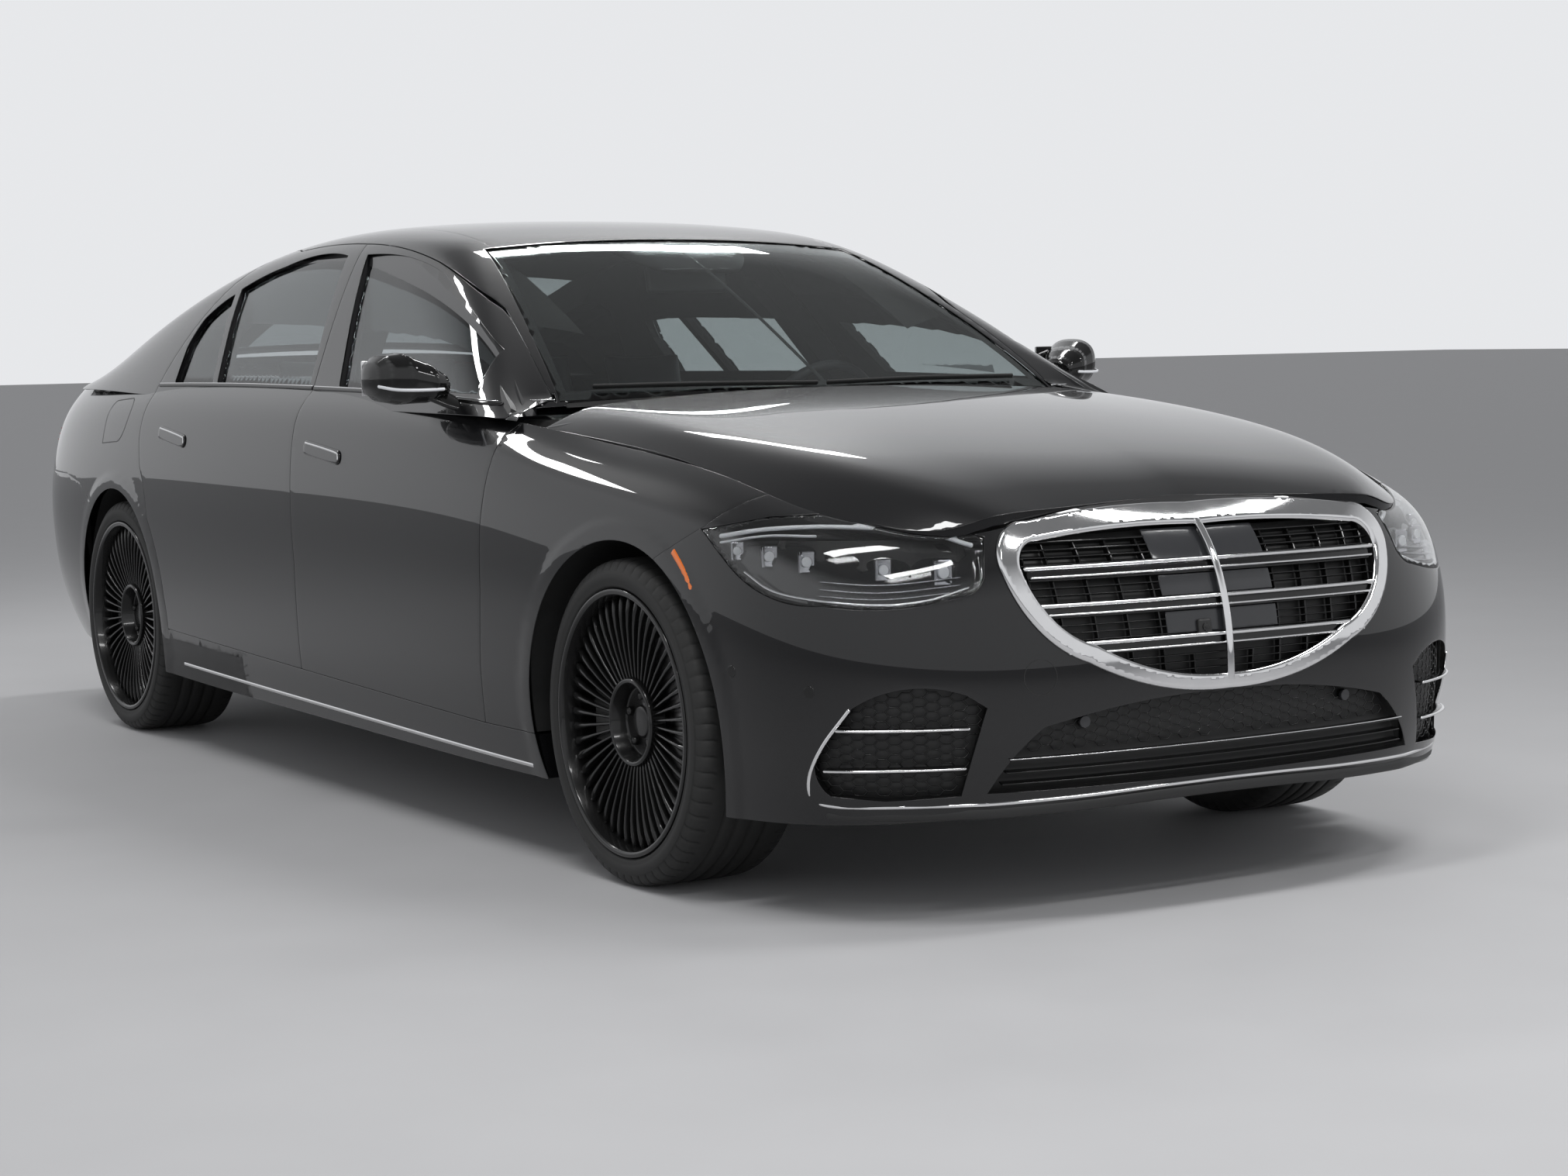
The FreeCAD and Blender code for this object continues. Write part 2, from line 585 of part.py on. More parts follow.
sides = shell.common(block(along(-1955), along(1300), roof_half + touch, 1200, 960, 1600))
for space in (block(along(-3000), along(-1240), 0, 1200, 0, up(1047)), frame_space(FRONT_FRAME, -half_gap),
              frame_space(REAR_FRAME, -half_gap), screen_space, rear_screen_space,
              block(along(-1300), along(1090), 0, 1200, 0, up(1022)),
              block(along(1000), along(1300), 0, across(705), 0, up(1030))):
    sides = largest(sides.cut(space))
quarter = wall(0, size("bumper_wall"), (11, 18)).common(side_prism(QUARTER, half_gap))
for space in (arch_rear, tail_lamp_space, side_prism(REAR_DOOR, -half_gap), side_prism(REAR_FRAME, -half_gap),
              lid_rear_space, lid_space):
    quarter = quarter.cut(space)
strip = deck_slab(0, size("bumper_wall")).common(block(along(-2700), along(-1930), 0, 1000, 900, 1300))
strip = strip.cut(lid_space).cut(lid_rear_space).cut(tail_lamp_space)
strip = strip.cut(block(-2400, 2100, -50, roof_half + touch, 900, 1800))
body_side = sides.fuse(quarter).fuse(strip).cut(lid_sweep)
add_pair("body_side", largest(body_side))

screen = cabin(3, 3 + size("glass"))
add("windscreen", both(largest(screen.common(front_prism(SCREEN, 1300, 200)))))
add("rear_window", both(largest(screen.common(front_prism(REAR_SCREEN, -2050, -700)))))

# Bonnet and boot lid with their hinge rings, and the space each takes
bonnet_hinge = V(1215, 620, 985)
hinge_half = 15


def lid_ring(centre, arm):
    """A ring about a cross axis with the block that joins it to the lid."""
    ring = rod(centre - V(0, hinge_half, 0), V(0, 1, 0), 2 * hinge_half, size("pin_radius") + 5).fuse(arm)
    return ring.cut(rod(centre - V(0, 60, 0), V(0, 1, 0), 120, size("pin_radius") + play))


def lid_pins(centre, reach, drop):
    """The pin for one ring with a bracket on each side of it, reaching forward and down."""
    pin = rod(centre - V(0, hinge_half + 14, 0), V(0, 1, 0), 2 * hinge_half + 28, size("pin_radius"))
    for side in (-1, 1):
        low = centre.y + side * (hinge_half + 10) - 4
        pin = pin.fuse(block(centre.x - 7, centre.x + 2, low, low + 8, centre.z - drop, centre.z + 2))
        pin = pin.fuse(block(centre.x - 8, centre.x + reach, low, low + 8, centre.z - drop, centre.z - drop + 12))
    return pin


bonnet_space = bonnet_slab(-40, size("lid_wall") + 8).common(top_prism(BONNET_EDGE, -half_gap))
bonnet_arm = block(1208, 1290, 605, 635, 980, 1014)
bonnet = largest(bonnet_slab(0, size("lid_wall")).common(top_prism(BONNET_EDGE, half_gap)))
bonnet = bonnet.fuse(lid_ring(bonnet_hinge, bonnet_arm))
add("bonnet", both(bonnet))
lid = deck_slab(0, size("lid_wall")).common(top_prism(LID_EDGE, half_gap, up(930)))
lid = lid.fuse(wall(0, size("lid_wall"), TAIL).common(front_prism(LID_REAR, *FAR_REAR, half_gap)))
lid_arm = block(lid_hinge.x - 30, lid_hinge.x + 5, lid_hinge.y - 15, lid_hinge.y + 15, lid_hinge.z, 1114)
lid = lid.fuse(lid_ring(lid_hinge, lid_arm))
add("boot_lid", both(lid))

# Fenders and skirts
fender = skin_panel(FENDER, 0, size("skin"), half_gap).cut(arch_front).cut(headlamp_space).cut(bonnet_space)
add_pair("fender", largest(fender))
SKIRT = [door_bottom(1130), door_bottom(-960), (-1060, 346), (-1456, 352), (-1456, 100), (1760, 100),
         (1760, 290), (1400, 290)]
skirt = wall(0, size("ring_inset") - touch, SIDE).common(side_prism(SKIRT, half_gap))
skirt = largest(skirt.cut(arch_front).cut(arch_rear))
add("side_skirts", Part.makeCompound([skirt, mirrored(skirt)]))

# Front and rear covers
cover = wall(0, size("bumper_wall"), NOSE).common(side_prism(BUMPER_SIDE, half_gap))
for space in (arch_front, headlamp_space, corner_prism(SIDE_INTAKE, 1), front_prism(LOWER_INTAKE, *FAR_FRONT),
              front_prism(GRILLE, *FAR_FRONT, -touch), bonnet_space):
    cover = cover.cut(space)
add("front_bumper", both(largest(cover)))
rear_cover = wall(0, size("bumper_wall"), TAIL).common(side_prism(REAR_BUMPER, half_gap))
add("rear_bumper", both(rear_cover.cut(arch_rear).cut(lid_rear_space).cut(tail_lamp_space)))

lamp = wall(2, size("bumper_wall"), NOSE).common(corner_prism(HEADLAMP, 1)).cut(bonnet_space)
add("headlamps", Part.makeCompound([lamp, mirrored(lamp)]))
tail = wall(2, size("bumper_wall"), TAIL).common(corner_prism(TAIL_LAMP, -1))
add("tail_lamps", Part.makeCompound([tail, mirrored(tail)]))

# Grille: a frame, three double bars, one upright and the closed back they stand on
BAR_Z = (700, 627, 551)
bar_high = 7


def level_bar(z):
    return [(MIDLINE, z - bar_high), (MIDLINE, z + bar_high), (480, z + bar_high), (480, z - bar_high)]


grille_hole = front_prism(GRILLE_HOLE, *FAR_FRONT)
grille = wall(-12, size("bumper_wall"), NOSE).common(front_prism(GRILLE, *FAR_FRONT)).cut(grille_hole)
grille = grille.fuse(wall(22, size("bumper_wall"), NOSE).common(front_prism(GRILLE_HOLE, *FAR_FRONT, -4)))
bar_wall = wall(-8, 26, NOSE)
for z in BAR_Z:
    for level in (z, z - 22):
        bar = front_prism(level_bar(level), *FAR_FRONT)
        grille = grille.fuse(bar_wall.common(bar).common(grille_hole))
upright = front_prism([(MIDLINE, 455), (MIDLINE, 780), (11, 780), (11, 455)], *FAR_FRONT)
grille = grille.fuse(wall(-11, 26, NOSE).common(upright)).cut(bonnet_space)
add("grille", both(grille))

# Lower openings: a back in each, one blade in the middle and two fins at each side
lower_back = wall(22, size("bumper_wall"), NOSE)
middle = lower_back.common(front_prism(LOWER_INTAKE, *FAR_FRONT, touch))
blade = front_prism([(MIDLINE, 318), (MIDLINE, 332), (560, 332), (560, 318)], *FAR_FRONT)
middle = middle.fuse(wall(8, 26, NOSE).common(blade).common(front_prism(LOWER_INTAKE, *FAR_FRONT, touch)))
corner = lower_back.common(corner_prism(SIDE_INTAKE, 1, touch))
FINS = [(-1455, 398, -1150, 390), (-1455, 322, -1110, 312)]
for s0, z0, s1, z1 in FINS:
    fin = corner_prism([(s0, z0 - 8), (s0, z0 + 8), (s1, z1 + 8), (s1, z1 - 8)], 1)
    corner = corner.fuse(wall(6, 26, NOSE).common(fin).common(corner_prism(SIDE_INTAKE, 1, touch)))
add("lower_grille", Part.makeCompound([both(middle), corner, mirrored(corner)]))

# Panels behind the covers
bumper_back = size("bumper_wall") + touch
behind_cover = bumper_back + size("carrier_wall")
front_carrier = wall(bumper_back, behind_cover, NOSE).common(block(along(2180), 2800, -1, 1000, 240, up(760)))
rear_carrier = wall(bumper_back, behind_cover, TAIL).common(block(-2800, along(-1900), -1, 1000, 262, up(690)))
front_carrier = front_carrier.cut(rod(V(front_axle_x, 300, axle_z), V(0, 1, 0), 800, 425))
rear_carrier = rear_carrier.cut(rod(V(rear_axle_x, 300, axle_z), V(0, 1, 0), 800, 425))
add("carriers", Part.makeCompound([both(front_carrier), both(rear_carrier)]))

# Wheel arch liners: round the tyre and a wall on the inside


def liner(axle_x, hole):
    centre = V(axle_x, size("liner_inner_y"), axle_z)
    outer = rod(centre, V(0, 1, 0), 600, liner_radius + size("liner_wall"))
    tube = outer.cut(rod(centre + V(0, size("liner_wall"), 0), V(0, 1, 0), 600, liner_radius))
    tube = tube.cut(rod(centre - V(0, 1, 0), V(0, 1, 0), 20, hole))
    return tube.cut(block(axle_x - 600, axle_x + 600, 300, 1200, -300, 250))


outside_skin = wall(-60, size("skin") + touch, (0, 18))
outside_cover = wall(-60, bumper_back, (0, 18))
front_liner = liner(front_axle_x, 230).cut(outside_skin)
front_liner = front_liner.cut(outside_cover.common(side_prism(BUMPER_SIDE, -2)))
front_liner = front_liner.cut(wall(-60, size("ring_inset"), SIDE).common(side_prism(SKIRT, -touch)))
rear_liner = liner(rear_axle_x, 230).cut(outside_cover)
rear_liner = rear_liner.cut(wall(-60, size("ring_inset"), SIDE).common(side_prism(SKIRT, -touch)))
add("liners", Part.makeCompound([largest(front_liner), mirrored(largest(front_liner)),
                                 largest(rear_liner), mirrored(largest(rear_liner))]))


def inside_ring(shape):
    """What fits between the two body side rings."""
    return shape.cut(wall(-100, size("ring_inset") + size("ring_depth") + touch, SIDE))


# Floor with tunnel, firewall, sloped bulkhead, parcel shelf, boot floor and front rails
floor_low = size("floor_height")
floor_top = floor_low + size("floor_wall")
tunnel_half, tunnel_wall, tunnel_top = 118, 18, 400
half_floor = block(-975, 1230, 0, 830, floor_low, floor_top)
half_floor = half_floor.fuse(block(-975, 1230, 0, tunnel_half, floor_top - 5, tunnel_top))
half_floor = half_floor.cut(block(-1000, 1300, -1, tunnel_half - tunnel_wall, 0, tunnel_top - tunnel_wall))
firewall = block(1200, 1230, 0, 830, floor_top - 5, 900).fuse(block(1145, 1230, 0, 640, 880, 960))
slope = [(-965, floor_low), (-995, floor_low), (-1266, 960), (-1236, 960)]
bulkhead = side_prism(slope, 0, 0, 830)
shelf = block(-1930, -1245, 0, 560, 940, 960)
shelf_rear = block(-1930, -1912, 0, 560, 940, 1090)
boot_front = side_prism([(-995, floor_low), (-1266, 960), (1300, 960), (1300, floor_low)], -touch)
boot_floor = block(-2505, -1030, 0, 465, 404, 430).cut(boot_front)
boot_wall = block(-2000, -1030, 447, 465, 430 + touch, 940 - touch).cut(boot_front)
rail = block(1200, 2560, 395, 435, 440, 540)
half_floor = half_floor.multiFuse([firewall, bulkhead, shelf, shelf_rear, rail])
half_floor = inside_ring(half_floor).cut(wall(-100, behind_cover + touch, (0, 18)))
half_floor = half_floor.cut(block(-1300, 1400, -1, 100, 0, 262)).cut(rear_arch_space)
half_floor = half_floor.fuse(lid_pins(lid_hinge, 60, 30)).fuse(lid_pins(bonnet_hinge, 10, 30))
add("floor", Part.makeCompound([both(largest(half_floor)), both(boot_floor), boot_wall, mirrored(boot_wall)]))

# Running gear: the left side of each axle is drawn and mirrored
pin_y = size("track_pin_y")
pivot_reach = 150
swivel_radius = 10
spindle_radius = 30
upright_in, upright_out = pin_y - 24, pin_y + 16
disc_in = upright_out + 10
disc_out = disc_in + size("disc_width")
spindle_out = disc_out + 18
caliper_out = disc_out + 18


def hub_carrier(axle_x):
    """Upright, spindle and caliper of the left wheel."""
    upright = block(axle_x - 40, axle_x + 40, upright_in, upright_out, axle_z - 145, axle_z + 145)
    spindle = rod(V(axle_x, upright_out - 5, axle_z), V(0, 1, 0), spindle_out - upright_out + 5, spindle_radius)
    bridge = block(axle_x - 175, axle_x - 30, upright_in + 10, upright_out, axle_z - 45, axle_z + 45)
    caliper = block(axle_x - 212, axle_x - 130, upright_in + 10, caliper_out, axle_z - 60, axle_z + 60)
    slot = rod(V(axle_x, disc_in - 5, axle_z), V(0, 1, 0), size("disc_width") + 10, size("disc_radius") + 6)
    return upright.fuse(bridge).fuse(caliper.cut(slot)).fuse(spindle)


knuckle = hub_carrier(front_axle_x)
for side in (-1, 1):
    end = V(front_axle_x, pin_y, axle_z + side * 146)
    knuckle = knuckle.cut(rod(end, V(0, 0, -side), 42, swivel_radius + play))
add_pair("knuckle", knuckle)

cross_low, cross_high = 200, 262
arm_end_radius = 13
crossmember = block(front_axle_x - 60, front_axle_x + 60, 0, 420, cross_low, cross_high)
lower_arm = block(front_axle_x - 28, front_axle_x + 28, 380, pin_y, axle_z - 172, axle_z - 152)
lower_arm = lower_arm.fuse(rod(V(front_axle_x, pin_y, axle_z - 172), V(0, 0, 1), 20, arm_end_radius))
lower_arm = lower_arm.fuse(block(front_axle_x - 28, front_axle_x + 28, 380, 440, axle_z - 172, cross_high))
lower_pin = rod(V(front_axle_x, pin_y, axle_z - 160), V(0, 0, 1), 50, swivel_radius)
upper_arm = block(front_axle_x - 22, front_axle_x + 22, 435 + touch, pin_y, axle_z + 152, axle_z + 170)
upper_arm = upper_arm.fuse(rod(V(front_axle_x, pin_y, axle_z + 152), V(0, 0, 1), 18, arm_end_radius))
upper_pin = rod(V(front_axle_x, pin_y, axle_z + 160), V(0, 0, -1), 50, swivel_radius)
post = block(front_axle_x - 40, front_axle_x + 40, 435 + touch, 462, axle_z - 140, axle_z + 170)
half_axle = crossmember.multiFuse([lower_arm, lower_pin, upper_arm, upper_pin, post])
add("front_axle", both(half_axle))

rear_cross = block(rear_axle_x - 70, rear_axle_x + 70, 0, 440, 262, 404 - touch)
rear_arm = block(rear_axle_x - 35, rear_axle_x + 35, 400, upright_in + 5, 270, 330)
half_rear = rear_cross.fuse(rear_arm).fuse(hub_carrier(rear_axle_x))
add("rear_axle", both(half_rear))

engine_front, engine_back, engine_half, engine_top = 2050, 1350, 280, 850
add("engine", block(engine_back, engine_front, -engine_half, engine_half, cross_high + touch, engine_top))

# Wheels: barrel, hub, disc and blades are one piece, the tyre another
tyre_in = size("wheel_face_y") - size("tyre_width")
rim_in, rim_out = tyre_in + 14, size("wheel_face_y") - 6
barrel_wall = 12
blade_out = size("wheel_face_y") - 12
blade_hub_out = blade_out - 16
hub_out = blade_hub_out


def turned(profile):
    """A ring turned about the car's cross axis from (y, r) points."""
    points = [V(0, y, r) for y, r in profile]
    face = Part.Face(Part.makePolygon(points + [points[0]]))
    return face.revolve(V(0, 0, 0), V(0, 1, 0), 360)


def blade(number):
    """A blade from the hub to the barrel, wider at the rim."""
    r0, r1 = size("hub_radius") - 4, size("rim_radius") - barrel_wall + 3
    w0, w1 = size("spoke_width") / 2, size("spoke_width") / 2 + 3
    y0, y1 = blade_hub_out, blade_out
    deep = size("spoke_depth")
    inner = [V(-w0, y0 - deep, r0), V(w0, y0 - deep, r0), V(w0, y0, r0), V(-w0, y0, r0)]
    outer = [V(-w1, y1 - deep, r1), V(w1, y1 - deep, r1), V(w1, y1, r1), V(-w1, y1, r1)]
    solid = skin_over([inner, outer])
    solid.rotate(V(0, 0, 0), V(0, 1, 0), number * 360 / size("spoke_count"))
    return solid


r_rim = size("rim_radius")
barrel = turned([(rim_in, r_rim), (rim_out, r_rim), (rim_out, r_rim - barrel_wall), (rim_in, r_rim - barrel_wall)])
hub = turned([(disc_in, 0), (disc_in, size("disc_radius")), (disc_out, size("disc_radius")),
              (disc_out, size("hub_radius")), (hub_out, size("hub_radius")), (hub_out, 56), (hub_out - 18, 56),
              (hub_out - 18, 0)])
hub = hub.cut(rod(V(0, 0, 0), V(0, 1, 0), spindle_out + touch, spindle_radius + play))
rim = barrel.multiFuse([hub] + [blade(k) for k in range(int(size("spoke_count")))])
r_tyre = size("tyre_radius")
middle_y = (tyre_in + size("wheel_face_y")) / 2
half_width = size("tyre_width") / 2
bead_half = half_width - 15
tyre = turned([(middle_y - bead_half, r_rim + touch), (middle_y - half_width, r_rim + 30),
               (middle_y - half_width + 22, r_tyre), (middle_y + half_width - 22, r_tyre),
               (middle_y + half_width, r_rim + 30), (middle_y + bead_half, r_rim + touch)])
for place, axle_x in (("front", front_axle_x), ("rear", rear_axle_x)):
    for label, shape in (("rim", rim), ("tyre", tyre)):
        left = shape.translated(V(axle_x, 0, axle_z))
        add("%s_%s_left" % (label, place), left)
        add("%s_%s_right" % (label, place), mirrored(left))

# Inside: dashboard, steering wheel, seats
steer = V(500, size("seat_pitch"), 930)
tilt = math.radians(24)
column = V(math.cos(tilt), 0, -math.sin(tilt))
dash = [(1145 - touch, 620), (1145 - touch, 955), (1000, 990), (760, 985), (640, 930), (600, 820), (700, 640), (900, 560)]
dash_half = 705
dash_points = [V(x, -dash_half, z) for x, z in dash]
dashboard = Part.Face(Part.makePolygon(dash_points + dash_points[:1])).extrude(V(0, 2 * dash_half, 0))
column_radius = 24
dashboard = dashboard.cut(rod(steer - column * 100, column, 400, column_radius + play))
add("dashboard", dashboard)
grip = 15
rim_middle = size("steering_radius") - grip
grip_points = [V(rim_middle + grip * math.cos(k * math.pi / 3), 0, grip * math.sin(k * math.pi / 3)) for k in range(6)]
grip_face = Part.Face(Part.makePolygon(grip_points + grip_points[:1]))
ring_wheel = grip_face.revolve(V(0, 0, 0), V(0, 0, 1), 360)
wheel_parts = [Part.makeCylinder(62, 40, V(0, 0, -10)), Part.makeCylinder(column_radius, 300, V(0, 0, 0))]
for turn_z in (0, 180, 270):
    arm = Part.makeBox(size("steering_radius") - 70, 34, 14, V(55, -17, -7))
    arm.rotate(V(0, 0, 0), V(0, 0, 1), turn_z)
    wheel_parts.append(arm)
steering = ring_wheel.multiFuse(wheel_parts)
steering.Placement = FreeCAD.Placement(steer, FreeCAD.Rotation(V(0, 0, 1), column))
add("steering_wheel", steering)


def cushion(x0, x1, y0, y1, z0, z1, round_by):
    shape = block(x0, x1, y0, y1, z0, z1)
    return shape.makeChamfer(round_by, shape.Edges)


def seat_row(x, y0, y1, floor_z, heads, head_half):
    """Base, cushion, raked back and headrests of one seat or bench."""
    base = block(x - 180, x + 190, y0 + 60, y1 - 60, floor_z, 380)
    seat = cushion(x - 250, x + 260, y0, y1, 330, 470, 34)
    back = cushion(x - 330, x - 200, y0 + 15, y1 - 15, 400, 1010, 34)
    heads = [cushion(x - 320, x - 215, y - head_half, y + head_half, 980, 1170, 30) for y in heads]
    back = back.multiFuse(heads)
    back.rotate(V(x - 250, 0, 430), V(0, 1, 0), -20)
    return base.fuse(seat).fuse(back)


front_seat = seat_row(20, size("seat_pitch") - size("seat_width") / 2, size("seat_pitch") + size("seat_width") / 2,
                      floor_top + touch, [size("seat_pitch")], 130)
add("front_seats", Part.makeCompound([front_seat, mirrored(front_seat)]))
bench = seat_row(-700, -640, 640, floor_top + touch, [-370, 370], 130)
bench = bench.cut(block(-1200, 0, -tunnel_half - touch, tunnel_half + touch, 0, tunnel_top + touch))
add("rear_bench", bench)

# Mirrors on the front doors
MIRROR = [(905, 812, 905, 1040, 1088), (950, 745, 925, 1026, 1120), (1000, 688, 905, 1024, 1146),
          (1040, 700, 850, 1034, 1136), (1060, 730, 800, 1052, 1110)]


def mirror_ring(y, x0, x1, z0, z1):
    cut = 0.28
    corners = [(0, cut), (0, 1 - cut), (cut, 1), (1 - cut, 1), (1, 1 - cut), (1, cut), (1 - cut, 0), (cut, 0)]
    points = [placed(x0 + (x1 - x0) * f, y, z0 + (z1 - z0) * g) for f, g in corners]
    return points


mirror = skin_over([mirror_ring(*row) for row in MIRROR])
stalk = block(870, 935, 860, 925, 1012, 1048)
mirror = mirror.fuse(stalk)
clear_of_door = cabin(-touch, 90).fuse(wall(-touch, 90, SIDE))
mirror = largest(mirror.cut(clear_of_door))
add_pair("mirror", mirror)

# Exhaust: two pipes under the tunnel to one silencer behind the rear axle, with outlets turned down
pipe_radius, pipe_y, pipe_z = 26, 64, 226
silencer = cushion(-2330, -2080, -420, 420, 215, 404 - touch, 20)
exhaust = silencer
for side in (-1, 1):
    exhaust = exhaust.fuse(rod(V(-2100, side * pipe_y, pipe_z), V(1, 0, 0), 3380, pipe_radius))
    exhaust = exhaust.fuse(rod(V(-2300, side * 350, 290), V(-1, 0, -0.8), 180, pipe_radius))
add("exhaust", exhaust)

broken = [piece.Label for piece in nodes.values()
          if {"Invalid", "Error"} & set(piece.State) or piece.Shape.isNull() or not piece.Shape.isValid()]
if broken:
    raise RuntimeError("not sound: " + ", ".join(broken))
for name, piece in nodes.items():
    print(name, len(piece.Shape.Solids), end="; ")
os.makedirs("parts", exist_ok=True)
for name, piece in nodes.items():
    piece.Shape.exportStep("parts/%s.step" % name)
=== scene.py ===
"""Looks of a full-size four-door saloon car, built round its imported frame.

Row frame: +X forward, +Y to the car's left, +Z up, in metres. Tables are in millimetres.
"""
import json
import math

import bmesh
import bpy
import numpy as np
from mathutils import Matrix, Vector
from mathutils.geometry import delaunay_2d_cdt

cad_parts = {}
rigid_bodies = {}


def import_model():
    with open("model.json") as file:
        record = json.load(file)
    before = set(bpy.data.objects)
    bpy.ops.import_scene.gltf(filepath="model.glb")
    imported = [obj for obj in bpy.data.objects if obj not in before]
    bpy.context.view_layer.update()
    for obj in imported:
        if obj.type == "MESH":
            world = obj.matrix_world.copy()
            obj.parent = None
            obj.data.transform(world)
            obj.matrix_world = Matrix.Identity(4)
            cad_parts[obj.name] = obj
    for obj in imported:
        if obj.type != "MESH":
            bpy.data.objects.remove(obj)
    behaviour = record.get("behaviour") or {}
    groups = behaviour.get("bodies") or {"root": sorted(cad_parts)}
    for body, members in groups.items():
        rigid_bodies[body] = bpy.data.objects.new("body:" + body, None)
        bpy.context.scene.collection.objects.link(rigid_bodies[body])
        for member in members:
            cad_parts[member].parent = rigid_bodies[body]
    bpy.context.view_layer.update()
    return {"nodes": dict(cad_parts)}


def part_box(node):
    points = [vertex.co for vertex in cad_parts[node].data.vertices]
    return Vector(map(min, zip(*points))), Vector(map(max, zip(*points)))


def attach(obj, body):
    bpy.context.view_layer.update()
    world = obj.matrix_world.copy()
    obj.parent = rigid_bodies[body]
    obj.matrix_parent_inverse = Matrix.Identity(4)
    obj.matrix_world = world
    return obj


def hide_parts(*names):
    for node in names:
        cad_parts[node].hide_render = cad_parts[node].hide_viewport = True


for left_over in list(bpy.data.objects):
    bpy.data.objects.remove(left_over)
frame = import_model()
MM = 0.001
MIDDLE = 2e-4   # nearer to the car's middle than this is on it

# Driving places, read from the frame
wheel_low, wheel_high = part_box("tyre_front_left")
rear_low, rear_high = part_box("tyre_rear_left")
FRONT_AXLE = (wheel_low.x + wheel_high.x) / 2
REAR_AXLE = (rear_low.x + rear_high.x) / 2
TYRE_RADIUS = (wheel_high.z - wheel_low.z) / 2
WHEEL_FACE = wheel_high.y
TYRE_WIDTH = wheel_high.y - wheel_low.y
RIM_RADIUS = (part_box("rim_front_left")[1].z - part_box("rim_front_left")[0].z) / 2

SHUT = 1.8      # half of a drawn shut line
EDGE = 1.2      # rounding of a panel's edge
ARCH = 392      # wheel arch about the axle
ARCH_Z = 352    # height of the axles
FRONT_X, REAR_X = 1760, -1456
SIDES = ("left", "right")

# Body side from the middle of the nose round to the middle of the tail, one row for each section: x, y and
# facing (degrees) of its widest point; sill z and tuck; waist z; shoulder z and tuck; edge z and tuck
WALL = [
    (2650, 0, 0, 228, 26, 470, 700, 50, 826, 172),
    (2648, 190, 2, 228, 26, 470, 700, 50, 822, 158),
    (2632, 400, 8, 225, 28, 465, 690, 48, 804, 98),
    (2590, 600, 25, 216, 32, 470, 690, 50, 756, 72),
    (2470, 800, 48, 206, 38, 490, 720, 48, 792, 135),
    (2290, 893, 70, 198, 40, 520, 765, 40, 820, 130),
    (2060, 925, 83, 192, 38, 560, 800, 32, 878, 130),
    (1760, 940, 88, 190, 36, 590, 830, 26, 915, 140),
    (1400, 954, 90, 190, 32, 610, 880, 22, 952, 150),
    (1050, 962, 90, 190, 30, 620, 930, 22, 996, 80),
    (500, 963, 90, 195, 30, 630, 945, 20, 1035, 88),
    (-50, 963, 90, 200, 30, 640, 950, 20, 1050, 92),
    (-700, 962, 90, 205, 30, 650, 950, 20, 1056, 93),
    (-1250, 955, 90, 215, 30, 660, 955, 22, 1056, 92),
    (-1700, 942, 92, 225, 40, 660, 955, 30, 1052, 105),
    (-2100, 915, 98, 240, 70, 650, 940, 42, 1044, 120),
    (-2400, 860, 112, 255, 95, 640, 920, 55, 1034, 130),
    (-2585, 735, 140, 262, 110, 630, 905, 60, 1034, 125),
    (-2640, 480, 168, 265, 110, 620, 900, 50, 1046, 108),
    (-2655, 200, 177, 265, 110, 620, 900, 50, 1056, 98),
    (-2657, 0, 180, 265, 110, 620, 900, 50, 1058, 96),
]
# Bonnet: middle x, z; crease x, y, z; side edge x, y, z
BONNET = [
    (2478, 826, 2556, 475, 796, 2528, 572, 750),
    (2425, 856, 2480, 540, 830, 2474, 640, 768),
    (2300, 902, 2350, 600, 872, 2350, 730, 794),
    (2080, 950, 2110, 672, 924, 2110, 800, 846),
    (1800, 995, 1810, 712, 966, 1810, 822, 900),
    (1500, 1026, 1500, 722, 998, 1500, 828, 934),
    (1300, 1040, 1310, 725, 1012, 1310, 846, 954),
    (1215, 1046, 1215, 725, 1018, 1215, 862, 962),
]
# Cabin top: middle x, z; rail x, y, z; window line x, y, z
CABIN = [
    (1190, 1024, 1085, 775, 1012, 1180, 866, 988),
    (1080, 1085, 1000, 762, 1080, 1090, 893, 1004),
    (850, 1208, 790, 722, 1205, 900, 892, 1018),
    (600, 1330, 560, 668, 1322, 650, 885, 1030),
    (345, 1440, 340, 628, 1412, 400, 876, 1040),
    (100, 1488, 100, 612, 1456, 150, 870, 1046),
    (-250, 1506, -250, 612, 1476, -200, 868, 1050),
    (-650, 1500, -650, 622, 1462, -600, 867, 1053),
    (-1000, 1462, -1000, 650, 1415, -950, 867, 1055),
    (-1330, 1385, -1330, 690, 1330, -1280, 868, 1055),
    (-1680, 1265, -1680, 728, 1215, -1600, 862, 1052),
    (-1960, 1134, -1960, 745, 1098, -1900, 845, 1046),
    (-2120, 1098, -2120, 745, 1060, -2100, 815, 1040),
]
# Boot lid's top: x, middle z, side edge y, z; and its crown: share of the way out, share of the rise
DECK = [
    (-1930, 1132, 820, 1054),
    (-2050, 1104, 806, 1048),
    (-2200, 1092, 782, 1044),
    (-2380, 1084, 732, 1038),
    (-2500, 1076, 670, 1034),
    (-2562, 1064, 600, 1030),
]
CROWN = [(0, 1), (0.22, 1), (0.45, 0.97), (0.68, 0.78), (0.86, 0.42), (1, 0)]


